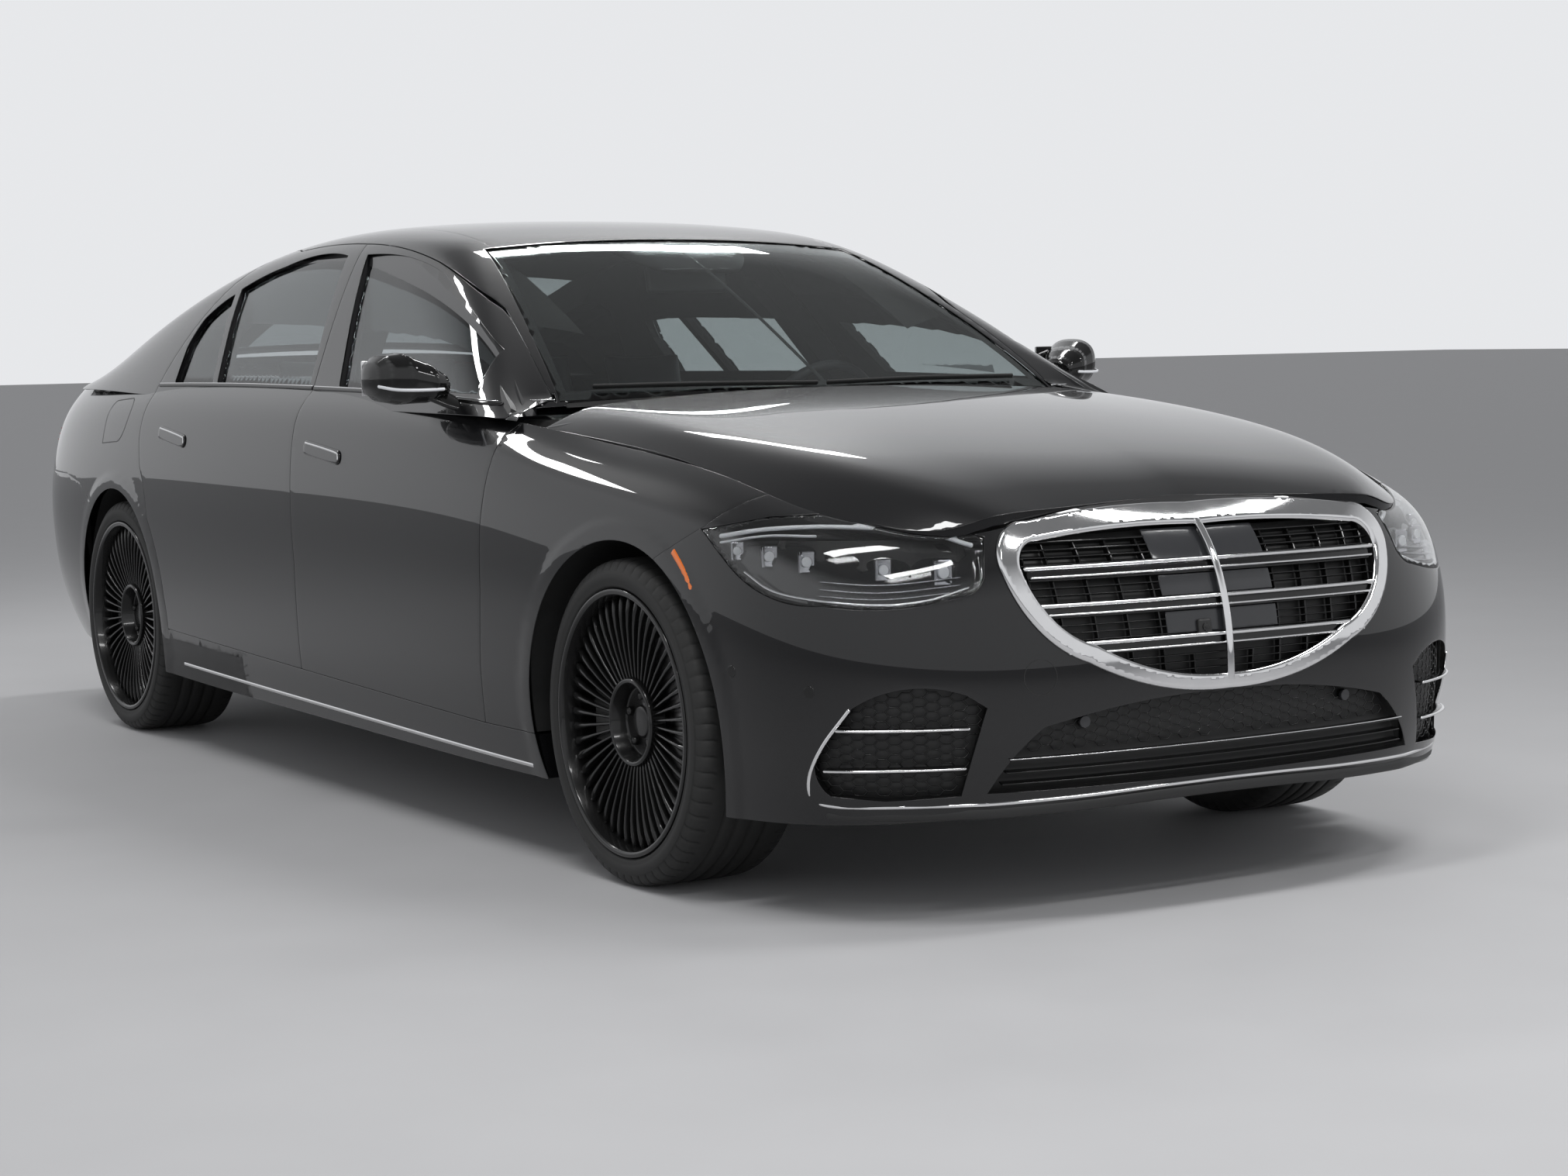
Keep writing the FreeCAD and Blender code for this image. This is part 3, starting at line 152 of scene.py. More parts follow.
def wall_net():
    net = []
    for x, y, facing, low_z, low_in, waist_z, shoulder_z, shoulder_in, top_z, top_in in WALL:
        turn = math.radians(facing)
        levels = [
            (low_z, low_in),
            (low_z + 0.28 * (waist_z - low_z), 0.28 * low_in),
            (waist_z - 0.15 * (waist_z - low_z), 0),
            (waist_z + 0.35 * (shoulder_z - waist_z), 0),
            (shoulder_z, 0.75 * shoulder_in),
            (shoulder_z + 0.62 * (top_z - shoulder_z), shoulder_in + 0.45 * (top_in - shoulder_in)),
            (top_z, top_in),
        ]
        net.append([(x - tuck * math.cos(turn), y - tuck * math.sin(turn), z) for z, tuck in levels])
    return net


def bonnet_net():
    net = []
    for xm, zm, xc, yc, zc, xe, ye, ze in BONNET:
        tops = [(0, 0), (0.35, 0), (0.7, 0.45), (0.93, 0.8)]
        falls = [0.12, 0.55, 1]
        net.append([(xm + (xc - xm) * f * f, yc * f, zm + (zc - zm) * g) for f, g in tops]
                   + [(xc + (xe - xc) * f, yc + (ye - yc) * f, zc + (ze - zc) * f) for f in falls])
    return net


def cabin_net():
    net = []
    for xm, zm, xr, yr, zr, xb, yb, zb in CABIN:
        sides = [(xb + (xr - xb) * f, yb + (yr - yb) * f + bulge, zb + (zr - zb) * f + 0.4 * bulge)
                 for f, bulge in ((-0.1, 0), (0.35, 14), (0.75, 12))]
        net.append(sides + [
            (xr, yr, zr),
            (xr + (xm - xr) * 0.35, yr * 0.72, zr + (zm - zr) * 0.62),
            (xr + (xm - xr) * 0.8, yr * 0.35, zm),
            (xm, 0, zm),
        ])
    return net


def deck_net():
    return [[(x, ye * f, ze + (zm - ze) * g) for f, g in CROWN] for x, zm, ye, ze in DECK]


def pole_weights(count, t):
    """Weights of a cubic net's poles at each t. Past its ends the surface goes on straight."""
    span = count - 3
    knots = [0.0] * 3 + [float(k) for k in range(span + 1)] + [float(span)] * 3
    inside = np.clip(t, 0, span - 1e-9)
    weights = np.array([(inside >= a) & (inside < b) for a, b in zip(knots, knots[1:])], float).T
    for degree in (1, 2, 3):
        for i in range(len(knots) - 1 - degree):
            left = knots[i + degree] - knots[i]
            right = knots[i + degree + 1] - knots[i + 1]
            here = (inside - knots[i]) / left * weights[:, i] if left else 0
            there = (knots[i + degree + 1] - inside) / right * weights[:, i + 1] if right else 0
            weights[:, i] = here + there
    weights = weights[:, :count].copy()
    past = t - inside
    before, after = np.minimum(past, 0), np.maximum(past, 0)
    weights[:, 0] -= 3 * before
    weights[:, 1] += 3 * before
    weights[:, -1] += 3 * after
    weights[:, -2] -= 3 * after
    return weights


HALF = math.sqrt(0.5)
# Ways of looking at the body: what is read off a point for each
SIDE = ((1, 0, 0), (0, 0, 1))
TOP = ((1, 0, 0), (0, 1, 0))
FRONT = ((0, 1, 0), (0, 0, 1))
FRONT_CORNER = ((-HALF, HALF, 0), (0, 0, 1))
REAR_CORNER = ((HALF, HALF, 0), (0, 0, 1))


class Skin:
    """A smooth surface over one of the tables, with u along its rows and v across them."""

    def __init__(self, net, scale, outward):
        self.net = np.array(net, float) * MM
        self.outward = outward
        self.ends = (self.net.shape[0] - 3, self.net.shape[1] - 3)
        self.scale = scale

    def at(self, uv):
        rows = pole_weights(self.net.shape[0], uv[:, 0])
        columns = pole_weights(self.net.shape[1], uv[:, 1])
        return np.einsum("ni,nj,ijk->nk", rows, columns, self.net, optimize=True)

    def slopes(self, uv):
        h = 1e-4
        return [(self.at(uv + way) - self.at(uv - way)) / (2 * h) for way in np.array([(h, 0), (0, h)])]

    def normals(self, uv):
        du, dv = self.slopes(uv)
        n = np.cross(dv, du) * self.outward
        return n / np.linalg.norm(n, axis=1)[:, None]

    def find(self, view, points, part=None, grid=(90, 25), rounds=14, stride=0.4):
        """Where on the surface the given points of a view lie: the nearest place of a grid, then refined."""
        look = np.array(view, float)
        target = np.array(points, float) * MM
        first, last = part or (0, self.ends[0])
        us, vs = np.meshgrid(np.linspace(first, last, grid[0]), np.linspace(0, self.ends[1], grid[1]),
                             indexing="ij")
        tries = np.stack([us.ravel(), vs.ravel()], 1)
        seen = self.at(tries) @ look.T
        away = ((seen[None, :, :] - target[:, None, :]) ** 2).sum(2)
        uv = tries[away.argmin(1)].copy()
        for _ in range(rounds):
            miss = target - self.at(uv) @ look.T
            du, dv = self.slopes(uv)
            a, b = du @ look.T, dv @ look.T
            det = a[:, 0] * b[:, 1] - a[:, 1] * b[:, 0]
            det = np.where(np.abs(det) < 1e-9, 1e-9, det)
            step_u = (miss[:, 0] * b[:, 1] - miss[:, 1] * b[:, 0]) / det
            step_v = (a[:, 0] * miss[:, 1] - a[:, 1] * miss[:, 0]) / det
            uv[:, 0] += np.clip(step_u, -stride, stride)
            uv[:, 1] += np.clip(step_v, -stride, stride)
        return uv


wall = Skin(wall_net(), (0.35, 0.21), -1)
bonnet_top = Skin(bonnet_net(), (0.3, 0.21), 1)
cabin = Skin(cabin_net(), (0.33, 0.3), -1)
deck = Skin(deck_net(), (0.21, 0.27), 1)


# Outlines are lists of points; an entry of two points is an arc through the first to the second
def arc(a, b, c, count):
    """Points after a on the circle through a, b and c, ending with c."""
    (ax, ay), (bx, by), (cx, cy) = a, b, c
    d = 2 * (ax * (by - cy) + bx * (cy - ay) + cx * (ay - by))
    if abs(d) < 1e-6:
        return [c]
    aa, bb, cc = ax * ax + ay * ay, bx * bx + by * by, cx * cx + cy * cy
    ox = (aa * (by - cy) + bb * (cy - ay) + cc * (ay - by)) / d
    oy = (aa * (cx - bx) + bb * (ax - cx) + cc * (bx - ax)) / d
    start, mid, end = (math.atan2(p[1] - oy, p[0] - ox) for p in (a, b, c))
    turn = (end - start) % math.tau
    if (mid - start) % math.tau > turn:
        turn -= math.tau
    r = math.hypot(ax - ox, ay - oy)
    return [(ox + r * math.cos(start + turn * k / count), oy + r * math.sin(start + turn * k / count))
            for k in range(1, count + 1)]


def trace(outline, step=14, closed=True):
    """The outline's points, no further apart than step."""
    here = outline[0]
    points = [here]
    for item in outline[1:] + (outline[:1] if closed else []):
        if isinstance(item[0], tuple):
            points += arc(here, item[0], item[1], 16)
            here = item[1]
        else:
            count = max(1, math.ceil(math.dist(here, item) / step))
            points += [(here[0] + (item[0] - here[0]) * k / count, here[1] + (item[1] - here[1]) * k / count)
                       for k in range(1, count + 1)]
            here = item
    if closed:
        points = points[:-1]
    return points


def moved_in(points, inset):
    """A closed loop of points moved towards its inside by inset."""
    p = np.array(points, float)
    if not inset:
        return p
    before, after = p - np.roll(p, 1, 0), np.roll(p, -1, 0) - p
    area = np.sum(p[:, 0] * np.roll(p[:, 1], -1) - np.roll(p[:, 0], -1) * p[:, 1])
    side = 1 if area > 0 else -1
    normals = []
    for way in (before, after):
        way = way / np.maximum(np.linalg.norm(way, axis=1), 1e-9)[:, None]
        normals.append(side * np.stack([-way[:, 1], way[:, 0]], 1))
    n = normals[0] + normals[1]
    share = 1 + (normals[0] * normals[1]).sum(1)
    return p + inset * n / np.maximum(share, 0.35)[:, None]


def circle(x, z, radius, count=120):
    return [(x + radius * math.cos(math.tau * k / count), z + radius * math.sin(math.tau * k / count))
            for k in range(count)]


def region(skin, view, outline, inset=0.0, part=None):
    return skin.find(view, moved_in(trace(outline), inset), part)


def inside(loop, points):
    """Which points lie inside the closed loop."""
    x, y = points[:, 0][:, None], points[:, 1][:, None]
    ax, ay = loop[:, 0][None, :], loop[:, 1][None, :]
    bx, by = np.roll(loop[:, 0], -1)[None, :], np.roll(loop[:, 1], -1)[None, :]
    rising = (ay > y) != (by > y)
    cross = ax + (y - ay) / np.where(by == ay, 1e-12, by - ay) * (bx - ax)
    return (rising & (x < cross)).sum(1) % 2 == 1


def sheet_mesh(skin, keep, remove, steps, part, lift, relief=None):
    """A bmesh on the surface: what lies in every kept loop and in no removed one."""
    low = np.array([part[0], part[2]], float)
    high = np.array([part[1], part[3]], float)
    frame_loop = np.array([(low[0], low[1]), (high[0], low[1]), (high[0], high[1]), (low[0], high[1])])
    scale = np.array(skin.scale)
    dense = []
    for a, b in zip(frame_loop, np.roll(frame_loop, -1, 0)):
        count = max(1, round(float(np.abs((b - a) / np.array(steps)).max())))
        dense += [a + (b - a) * k / count for k in range(count)]
    loops = [np.array(dense)] + list(keep) + list(remove)
    lines = np.concatenate(loops)
    us = np.arange(low[0] + steps[0], high[0] - 1e-6, steps[0])
    vs = np.arange(low[1] + steps[1], high[1] - 1e-6, steps[1])
    grid = np.stack([g.ravel() for g in np.meshgrid(us, vs, indexing="ij")], 1)
    for loop in keep:
        grid = grid[inside(loop, grid)]
    for loop in remove:
        grid = grid[~inside(loop, grid)]
    clear = 0.45 * min(steps[0] * scale[0], steps[1] * scale[1])
    near = np.zeros(len(grid), bool)
    for chunk in np.array_split(np.arange(len(grid)), max(1, len(grid) // 2000)):
        gap = ((grid[chunk][:, None, :] - lines[None, :, :]) * scale) ** 2
        near[chunk] = gap.sum(2).min(1) < clear ** 2
    grid = grid[~near]
    points = np.concatenate([lines, grid]) * scale
    edges, start = [], 0
    for loop in loops:
        edges += [(start + k, start + (k + 1) % len(loop)) for k in range(len(loop))]
        start += len(loop)
    verts, _, faces, _, _, _ = delaunay_2d_cdt([Vector(p) for p in points], edges, [], 0, 1e-7)
    flat = np.array([tuple(v) for v in verts]) / scale
    middles = np.array([flat[list(f)].mean(0) for f in faces])
    held = inside(frame_loop, middles)
    for loop in keep:
        held &= inside(loop, middles)
    for loop in remove:
        held &= ~inside(loop, middles)
    places = skin.at(flat)
    normals = skin.normals(flat)
    raise_by = lift * MM + (relief(places) if relief else 0)
    places = places + normals * (raise_by if np.isscalar(raise_by) else raise_by[:, None])
    bm = bmesh.new()
    made = [bm.verts.new(p) for p in places]
    for face, on in zip(faces, held):
        if on:
            bm.faces.new([made[k] for k in face])
    bmesh.ops.delete(bm, geom=[v for v in bm.verts if not v.link_faces], context="VERTS")
    bm.normal_update()
    wanted = Vector(normals[list(faces[int(np.argmax(held))])].mean(0))
    bm.faces.ensure_lookup_table()
    if bm.faces[0].normal.dot(wanted) < 0:
        bmesh.ops.reverse_faces(bm, faces=bm.faces[:])
    bm.normal_update()
    return bm


def hem(bm, depth, radius=EDGE):
    """Rolls every free edge round by radius and ends it in a thin ring, depth thousandths further in.

    Edges on the car's middle stay as they are.
    """
    loose = [e for e in bm.edges if e.is_boundary and not all(abs(v.co.y) < MIDDLE for v in e.verts)]
    shape = [(0.7, 0.3, 0), (1, 1, 0), (1, 1, depth * MM)]
    rest = {}
    for v in {v for e in loose for v in e.verts}:
        n = v.normal.copy()
        out = Vector()
        for e in v.link_edges:
            if e.is_boundary:
                f = e.link_faces[0]
                across = (e.verts[1].co - e.verts[0].co).cross(f.normal)
                if across.dot(f.calc_center_median() - e.verts[0].co) > 0:
                    across = -across
                out += across.normalized()
        out -= n * out.dot(n)
        if abs(v.co.y) < MIDDLE:
            out.y = 0
            n.y = 0
        rest[v] = (v.co.copy(), n.normalized(), out.normalized())
    for along, down, deep in shape:
        made = bmesh.ops.extrude_edge_only(bm, edges=loose)["geom"]
        new_verts = {v for v in made if isinstance(v, bmesh.types.BMVert)}
        moved = {}
        for v in new_verts:
            source = next((e.other_vert(v) for e in v.link_edges if e.other_vert(v) in rest), None)
            if source is None:
                continue
            start, n, out = rest[source]
            v.co = start + (out * along - n * down) * radius * MM - n * deep * MM
            moved[v] = rest[source]
        loose = [e for e in made if isinstance(e, bmesh.types.BMEdge)]
        rest = moved
    bm.normal_update()


def both_sides(bm):
    """Adds the mirrored half and joins the two along the car's middle."""
    for v in bm.verts:
        if abs(v.co.y) < MIDDLE:
            v.co.y = 0
    bmesh.ops.mirror(bm, geom=bm.verts[:] + bm.edges[:] + bm.faces[:], axis="Y", merge_dist=1e-5)
    bmesh.ops.remove_doubles(bm, verts=[v for v in bm.verts if abs(v.co.y) < 1e-5], dist=1e-5)
    bmesh.ops.recalc_face_normals(bm, faces=bm.faces[:])


def placed(bm, matrix):
    bmesh.ops.transform(bm, matrix=matrix, verts=bm.verts[:])
    return bm


def other_side(bm):
    """A mirrored copy for the car's right."""
    copy = placed(bm.copy(), Matrix.Scale(-1, 4, (0, 1, 0)))
    bmesh.ops.reverse_faces(copy, faces=copy.faces[:])
    return copy


def piece(name, bm, body, material, slot, stands_for=(), weighted=True, thick=0.0, rounds=0):
    mesh = bpy.data.meshes.new(name)
    for f in bm.faces:
        f.smooth = True
    bm.to_mesh(mesh)
    bm.free()
    obj = bpy.data.objects.new(name, mesh)
    bpy.context.scene.collection.objects.link(obj)
    mesh.materials.append(material)
    if thick:
        thickness = obj.modifiers.new("thickness", "SOLIDIFY")
        thickness.thickness = thick * MM
    if rounds:
        rounding = obj.modifiers.new("rounding", "SUBSURF")
        rounding.levels = rounding.render_levels = rounds
    if weighted:
        shading = obj.modifiers.new("even_shading", "WEIGHTED_NORMAL")
        shading.mode = "FACE_AREA"
        shading.weight = 90
    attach(obj, body)
    if stands_for:
        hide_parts(*stands_for)
    return obj


def pair(name, bm, bodies, material, slot, stands_for=(), **more):
    """The piece on the left and its mirror image on the right; bodies and nodes take the side's name."""
    right = other_side(bm)
    for side, mesh in zip(SIDES, (bm, right)):
        nodes = [n.format(side=side) for n in stands_for]
        piece(f"{name}_{side}", mesh, bodies.format(side=side), material, slot, nodes, **more)


def whole(name, bm, *rest, **more):
    """A piece across the car's middle, drawn from its left half."""
    both_sides(bm)
    piece(name, bm, *rest, **more)


# Effects that several materials share
def effect(name, inputs, outputs):
    tree = bpy.data.node_groups.new(name, "ShaderNodeTree")
    for label, kind, value in inputs:
        socket = tree.interface.new_socket(label, in_out="INPUT", socket_type=kind)
        if value is not None:
            socket.default_value = value
    for label, kind in outputs:
        tree.interface.new_socket(label, in_out="OUTPUT", socket_type=kind)
    return tree, tree.nodes.new("NodeGroupInput"), tree.nodes.new("NodeGroupOutput")


def make_speckle():
    """Noise that mixes two colours and gives a fine height."""
    tree, start, end = effect(
        "speckle",
        [("Scale", "NodeSocketFloat", 200.0), ("First", "NodeSocketColor", (0.1, 0.1, 0.1, 1)),
         ("Second", "NodeSocketColor", (0.12, 0.12, 0.12, 1)), ("Low", "NodeSocketFloat", 0.3),
         ("High", "NodeSocketFloat", 0.4)],
        [("Color", "NodeSocketColor"), ("Roughness", "NodeSocketFloat"), ("Height", "NodeSocketFloat")])
    place = tree.nodes.new("ShaderNodeTexCoord")
    noise = tree.nodes.new("ShaderNodeTexNoise")
    noise.inputs["Detail"].default_value = 4
    mix = tree.nodes.new("ShaderNodeMix")
    mix.data_type = "RGBA"
    spread = tree.nodes.new("ShaderNodeMapRange")
    link = tree.links.new
    link(place.outputs["Object"], noise.inputs["Vector"])
    link(start.outputs["Scale"], noise.inputs["Scale"])
    link(noise.outputs["Fac"], mix.inputs["Factor"])
    link(start.outputs["First"], mix.inputs["A"])
    link(start.outputs["Second"], mix.inputs["B"])
    link(noise.outputs["Fac"], spread.inputs["Value"])
    link(start.outputs["Low"], spread.inputs["To Min"])
    link(start.outputs["High"], spread.inputs["To Max"])
    link(mix.outputs["Result"], end.inputs["Color"])
    link(spread.outputs["Result"], end.inputs["Roughness"])
    link(noise.outputs["Fac"], end.inputs["Height"])
    return tree


speckle = make_speckle()


def finish_of(name, first, second, scale, rough, metallic=0.0, bump=0.0, coat=0.0, coat_rough=0.03,
              transmission=0.0, ior=1.5, specular=0.5):
    material = bpy.data.materials.new(name)
    material.use_nodes = True
    nodes, link = material.node_tree.nodes, material.node_tree.links.new
    shader = nodes["Principled BSDF"]
    group = nodes.new("ShaderNodeGroup")
    group.node_tree = speckle
    group.inputs["Scale"].default_value = scale
    group.inputs["First"].default_value = (*first, 1)
    group.inputs["Second"].default_value = (*second, 1)
    group.inputs["Low"].default_value = rough[0]
    group.inputs["High"].default_value = rough[1]
    link(group.outputs["Color"], shader.inputs["Base Color"])
    link(group.outputs["Roughness"], shader.inputs["Roughness"])
    shader.inputs["Metallic"].default_value = metallic
    shader.inputs["Coat Weight"].default_value = coat
    shader.inputs["Coat Roughness"].default_value = coat_rough
    shader.inputs["Transmission Weight"].default_value = transmission
    shader.inputs["IOR"].default_value = ior
    shader.inputs["Specular IOR Level"].default_value = specular
    if bump:
        height = nodes.new("ShaderNodeBump")
        height.inputs["Strength"].default_value = 1
        height.inputs["Distance"].default_value = bump
        link(group.outputs["Height"], height.inputs["Height"])
        link(height.outputs["Normal"], shader.inputs["Normal"])
    return material


def glass_of(name, first, second):
    return finish_of(name, first, second, 4, (0.0, 0.01), transmission=1.0, ior=1.45)


paint = finish_of("black_paint", (0.003, 0.003, 0.0034), (0.007, 0.007, 0.008), 1400, (0.3, 0.38),
                  coat=1.0, coat_rough=0.015, specular=0.1)
gloss_black = finish_of("gloss_black_trim", (0.005, 0.005, 0.005), (0.008, 0.008, 0.008), 60, (0.06, 0.1))
satin_black = finish_of("satin_black_plastic", (0.012, 0.012, 0.012), (0.02, 0.02, 0.02), 900, (0.42, 0.55),
                        bump=0.00008)
chrome = finish_of("polished_chrome", (0.72, 0.72, 0.73), (0.8, 0.8, 0.8), 30, (0.05, 0.09), metallic=1.0)
dark_glass = glass_of("tinted_glass", (0.42, 0.46, 0.47), (0.44, 0.48, 0.49))
clear_glass = glass_of("windscreen_glass", (0.78, 0.84, 0.83), (0.8, 0.86, 0.85))
lens_clear = glass_of("lamp_lens", (0.93, 0.94, 0.95), (0.95, 0.96, 0.96))
lens_red = finish_of("tail_lens", (0.35, 0.006, 0.008), (0.4, 0.008, 0.01), 40, (0.04, 0.08), coat=1.0)
amber = finish_of("side_marker", (0.75, 0.14, 0.01), (0.85, 0.2, 0.015), 200, (0.15, 0.25), coat=0.6)
white_guide = finish_of("light_guide", (0.8, 0.82, 0.85), (0.85, 0.86, 0.88), 100, (0.2, 0.3))
dark_metal = finish_of("lamp_bezel", (0.4, 0.4, 0.42), (0.5, 0.5, 0.52), 100, (0.12, 0.2), metallic=1.0)
wheel_black = finish_of("gloss_black_wheel", (0.006, 0.006, 0.006), (0.012, 0.012, 0.012), 500, (0.2, 0.3),
                        coat=0.4, coat_rough=0.06, specular=0.3)
rubber = finish_of("tyre_rubber", (0.012, 0.012, 0.012), (0.022, 0.022, 0.021), 260, (0.6, 0.75),
                   bump=0.00015)
steel = finish_of("brake_steel", (0.3, 0.3, 0.31), (0.4, 0.39, 0.38), 160, (0.25, 0.4), metallic=1.0)
under_black = finish_of("underbody_black", (0.01, 0.01, 0.01), (0.02, 0.02, 0.02), 120, (0.7, 0.85),
                        bump=0.0003)
running_metal = finish_of("cast_metal", (0.1, 0.1, 0.1), (0.16, 0.16, 0.155), 140, (0.45, 0.6), metallic=0.9,
                          bump=0.0004)
cabin_plastic = finish_of("cabin_plastic", (0.009, 0.01, 0.013), (0.014, 0.015, 0.019), 700, (0.5, 0.62),
                          bump=0.0001)
leather = finish_of("seat_leather", (0.012, 0.014, 0.02), (0.02, 0.022, 0.03), 420, (0.42, 0.56), bump=0.0003)
sensor_grey = finish_of("sensor_panel", (0.03, 0.031, 0.034), (0.036, 0.037, 0.04), 20, (0.12, 0.18))


def sided(*names):
    return [f"{name}_{side}" for name in names for side in SIDES]


# CAD nodes and their finishes; most of the outer ones are replaced by smoother pieces below
KEPT = {
    under_black: ["floor", "liners", "carriers"] + sided("side_frame"),
    running_metal: ["front_axle", "rear_axle", "engine", "exhaust"] + sided("knuckle"),
    cabin_plastic: ["dashboard", "steering_wheel"],
    leather: ["front_seats", "rear_bench"],
    paint: ["bonnet", "boot_lid", "side_skirts", "roof", "front_bumper", "rear_bumper"]
    + sided("front_door", "rear_door", "mirror", "body_side", "fender"),
    satin_black: ["grille", "lower_grille"],
    lens_clear: ["headlamps"],
    lens_red: ["tail_lamps"],
    dark_glass: ["rear_window"] + sided("front_door_glass", "rear_door_glass"),
    clear_glass: ["windscreen"],
    wheel_black: sided("rim_front", "rim_rear"),
    rubber: sided("tyre_front", "tyre_rear"),
}
for material, names in KEPT.items():
    for name in names:
        data = frame["nodes"][name].data
        data.materials.clear()
        data.materials.append(material)


# Outlines on the body, seen from the view that each is used with
def door_bottom(x):
    """The doors' lower edge: 290 high at the front shut line and 55 higher 2090 behind it."""
    return (x, 290 + 55 * (1130 - x) / 2090)


def arch_point(radius, z):
    """A point ahead of the rear axle, at a radius from it."""
    return (REAR_X + math.sqrt(radius ** 2 - (z - ARCH_Z) ** 2), z)


MIDDLE_SHUT = [door_bottom(28), (30, 600), (12, 750), (0, 915), (-24, 1048)]
FRONT_SHUT = [(1132, 420), (1150, 600), (1150, 740), (1171, 890), (1166, 1150)]
FRONT_DOOR = [door_bottom(1130)] + FRONT_SHUT + [(-30, 1150)] + MIDDLE_SHUT[::-1]
REAR_DOOR = MIDDLE_SHUT + [(-26, 1150), (-1234, 1150), (-1228, 1000), (-1222, 900), (-1200, 819),
                           (-1165, 769), (-1148, 727), (-1130, 660),
                           (arch_point(448, 500), arch_point(448, 346))]
FRONT_FRAME = [(1152, 990), (1142, 1006), ((690, 1253), (324, 1372)), ((60, 1417), (-205, 1438)),
               (-24, 1048), (-24, 990)]
REAR_FRAME = [(-24, 990), (-24, 1048), (-205, 1438), ((-450, 1443), (-684, 1434)),
              ((-1057, 1336), (-1230, 1052)), (-1230, 990)]
FRONT_WINDOW = [(139, 1058), (-140, 1408), ((142, 1392), (388, 1344)), ((638, 1250), (872, 1148)),
                (965, 1044)]
REAR_WINDOW = [(-60, 1062), (-268, 1410), ((-480, 1419), (-689, 1392)), ((-820, 1368), (-940, 1334)),
               (-752, 1062)]
QUARTER_LIGHT = [(-786, 1062), (-968, 1320), ((-1050, 1290), (-1115, 1250)),
                 ((-1135, 1200), (-1139, 1170)), (-1100, 1062)]
FENDER = [door_bottom(1130)] + FRONT_SHUT + [(2168, 1150), (2168, 862), (2066, 783), (1899, 701),
                                            (FRONT_X, ARCH_Z), (FRONT_X, 300), (1400, 290)]
BUMPER_SEAM = [(FRONT_X, 150), (FRONT_X, ARCH_Z), (1899, 701), (2066, 783), (2168, 862), (2168, 1000)]
REAR_SEAM = [(REAR_X, 150), (REAR_X, ARCH_Z), (-1700, 692), (-1756, 709), (-1833, 748), (-2000, 770),
             (-2300, 770)]
SKIRT = [door_bottom(1130), door_bottom(-960), (-1060, 346), (REAR_X, ARCH_Z), (REAR_X, 120),
         (FRONT_X, 120), (FRONT_X, 290), (1400, 290)]
HEADLAMP = [(-830, 778), (-985, 806), (-1120, 812), (-1300, 800), (-1420, 765), (-1425, 688),
            ((-1412, 665), (-1385, 654)), ((-1244, 633), (-1122, 640)), ((-1000, 655), (-906, 710))]
SIDE_INTAKE = [(-1173, 436), ((-1300, 480), (-1401, 463)), (-1438, 437), (-1410, 343), (-1385, 262),
               (-1240, 254), (-1129, 262), ((-1100, 300), (-1121, 371))]
LOWER_INTAKE = [(-20, 262), (-20, 436), ((260, 424), (440, 392)), ((500, 340), (552, 264))]
GRILLE = [(-20, 446), (-20, 802), ((300, 798), (420, 786)), ((478, 765), (496, 700)),
          ((452, 600), (340, 520)), ((180, 462), (-20, 446))]
GRILLE_HOLE = [(-20, 466), (-20, 770), ((300, 768), (410, 758)), ((452, 742), (468, 698)),
               ((430, 612), (325, 540)), ((180, 484), (-20, 466))]
TAIL_LAMP = [(-1325, 812), (-1325, 922), (-1120, 926), (-1010, 915), (-1075, 858), (-1200, 816)]
BONNET_EDGE = [(2478, -20), ((2512, 293), (2526, 463)), ((2500, 570), (2397, 678)),
               ((2239, 762), (2017, 793)), ((1700, 801), (1324, 827)), (1250, 838), (1238, -20)]
LID_EDGE = [(-1958, -20), (-1958, 560), ((-1975, 612), (-2030, 622)), (-2700, 600), (-2700, -20)]
LID_REAR = [(-20, 700), (540, 700), (600, 800), (600, 1300), (-20, 1300)]
SCREEN = [(-20, 1036), ((400, 1034), (712, 1022)), ((636, 1228), (546, 1405)), ((300, 1424), (-20, 1431))]
REAR_SCREEN = [(-20, 1152), ((400, 1142), (640, 1118)), ((640, 1250), (560, 1392)),
               ((300, 1414), (-20, 1420))]


def wall_region(view, outline, inset=0.0, part=None, tail=()):
    """A loop on the body side; tail adds corners given as (u, v)."""
    points = region(wall, view, outline, inset, part)
    return np.concatenate([points, np.array(tail, float)]) if tail else points


def open_region(view, line, part, tail):
    """A loop made of an open line on the body side and (u, v) corners that close it."""
    return np.concatenate([wall.find(view, trace(line, closed=False), part), np.array(tail, float)])


TOP_EDGE = 3.99     # v at the body side's upper edge
STEPS = (1 / 16, 1 / 14)
FINE = (1 / 30, 1 / 30)
# Spans of the body side's u, each round one group of outlines
NOSE_PART = (0, 5)
CORNER_PART = (0, 8)
FRONT_DOOR_PART = (7, 13)
REAR_DOOR_PART = (9, 14.5)
TAIL_PART = (13, 18)
LID_PART = (14, 18)
front_arch = wall.find(SIDE, circle(FRONT_X, ARCH_Z, ARCH), (5, 10))
rear_arch = wall.find(SIDE, circle(REAR_X, ARCH_Z, ARCH), (11, 16))
lamp_hole = wall_region(FRONT_CORNER, HEADLAMP, -SHUT, CORNER_PART)
tail_hole = wall_region(REAR_CORNER, TAIL_LAMP, -SHUT, TAIL_PART)


def arch_relief(places):
    """A flat band that stands a little proud round each wheel arch."""
    reach, fade, rise = 0.438, 0.012, 0.0025
    height = np.zeros(len(places))
    for axle in (FRONT_AXLE, REAR_AXLE):
        r = np.hypot(places[:, 0] - axle, places[:, 2] - ARCH_Z * MM)
        band = np.clip((reach - r) / fade, 0, 1)
        height += rise * band * band * (3 - 2 * band)
    return np.where(places[:, 1] > 0.8, height, 0)


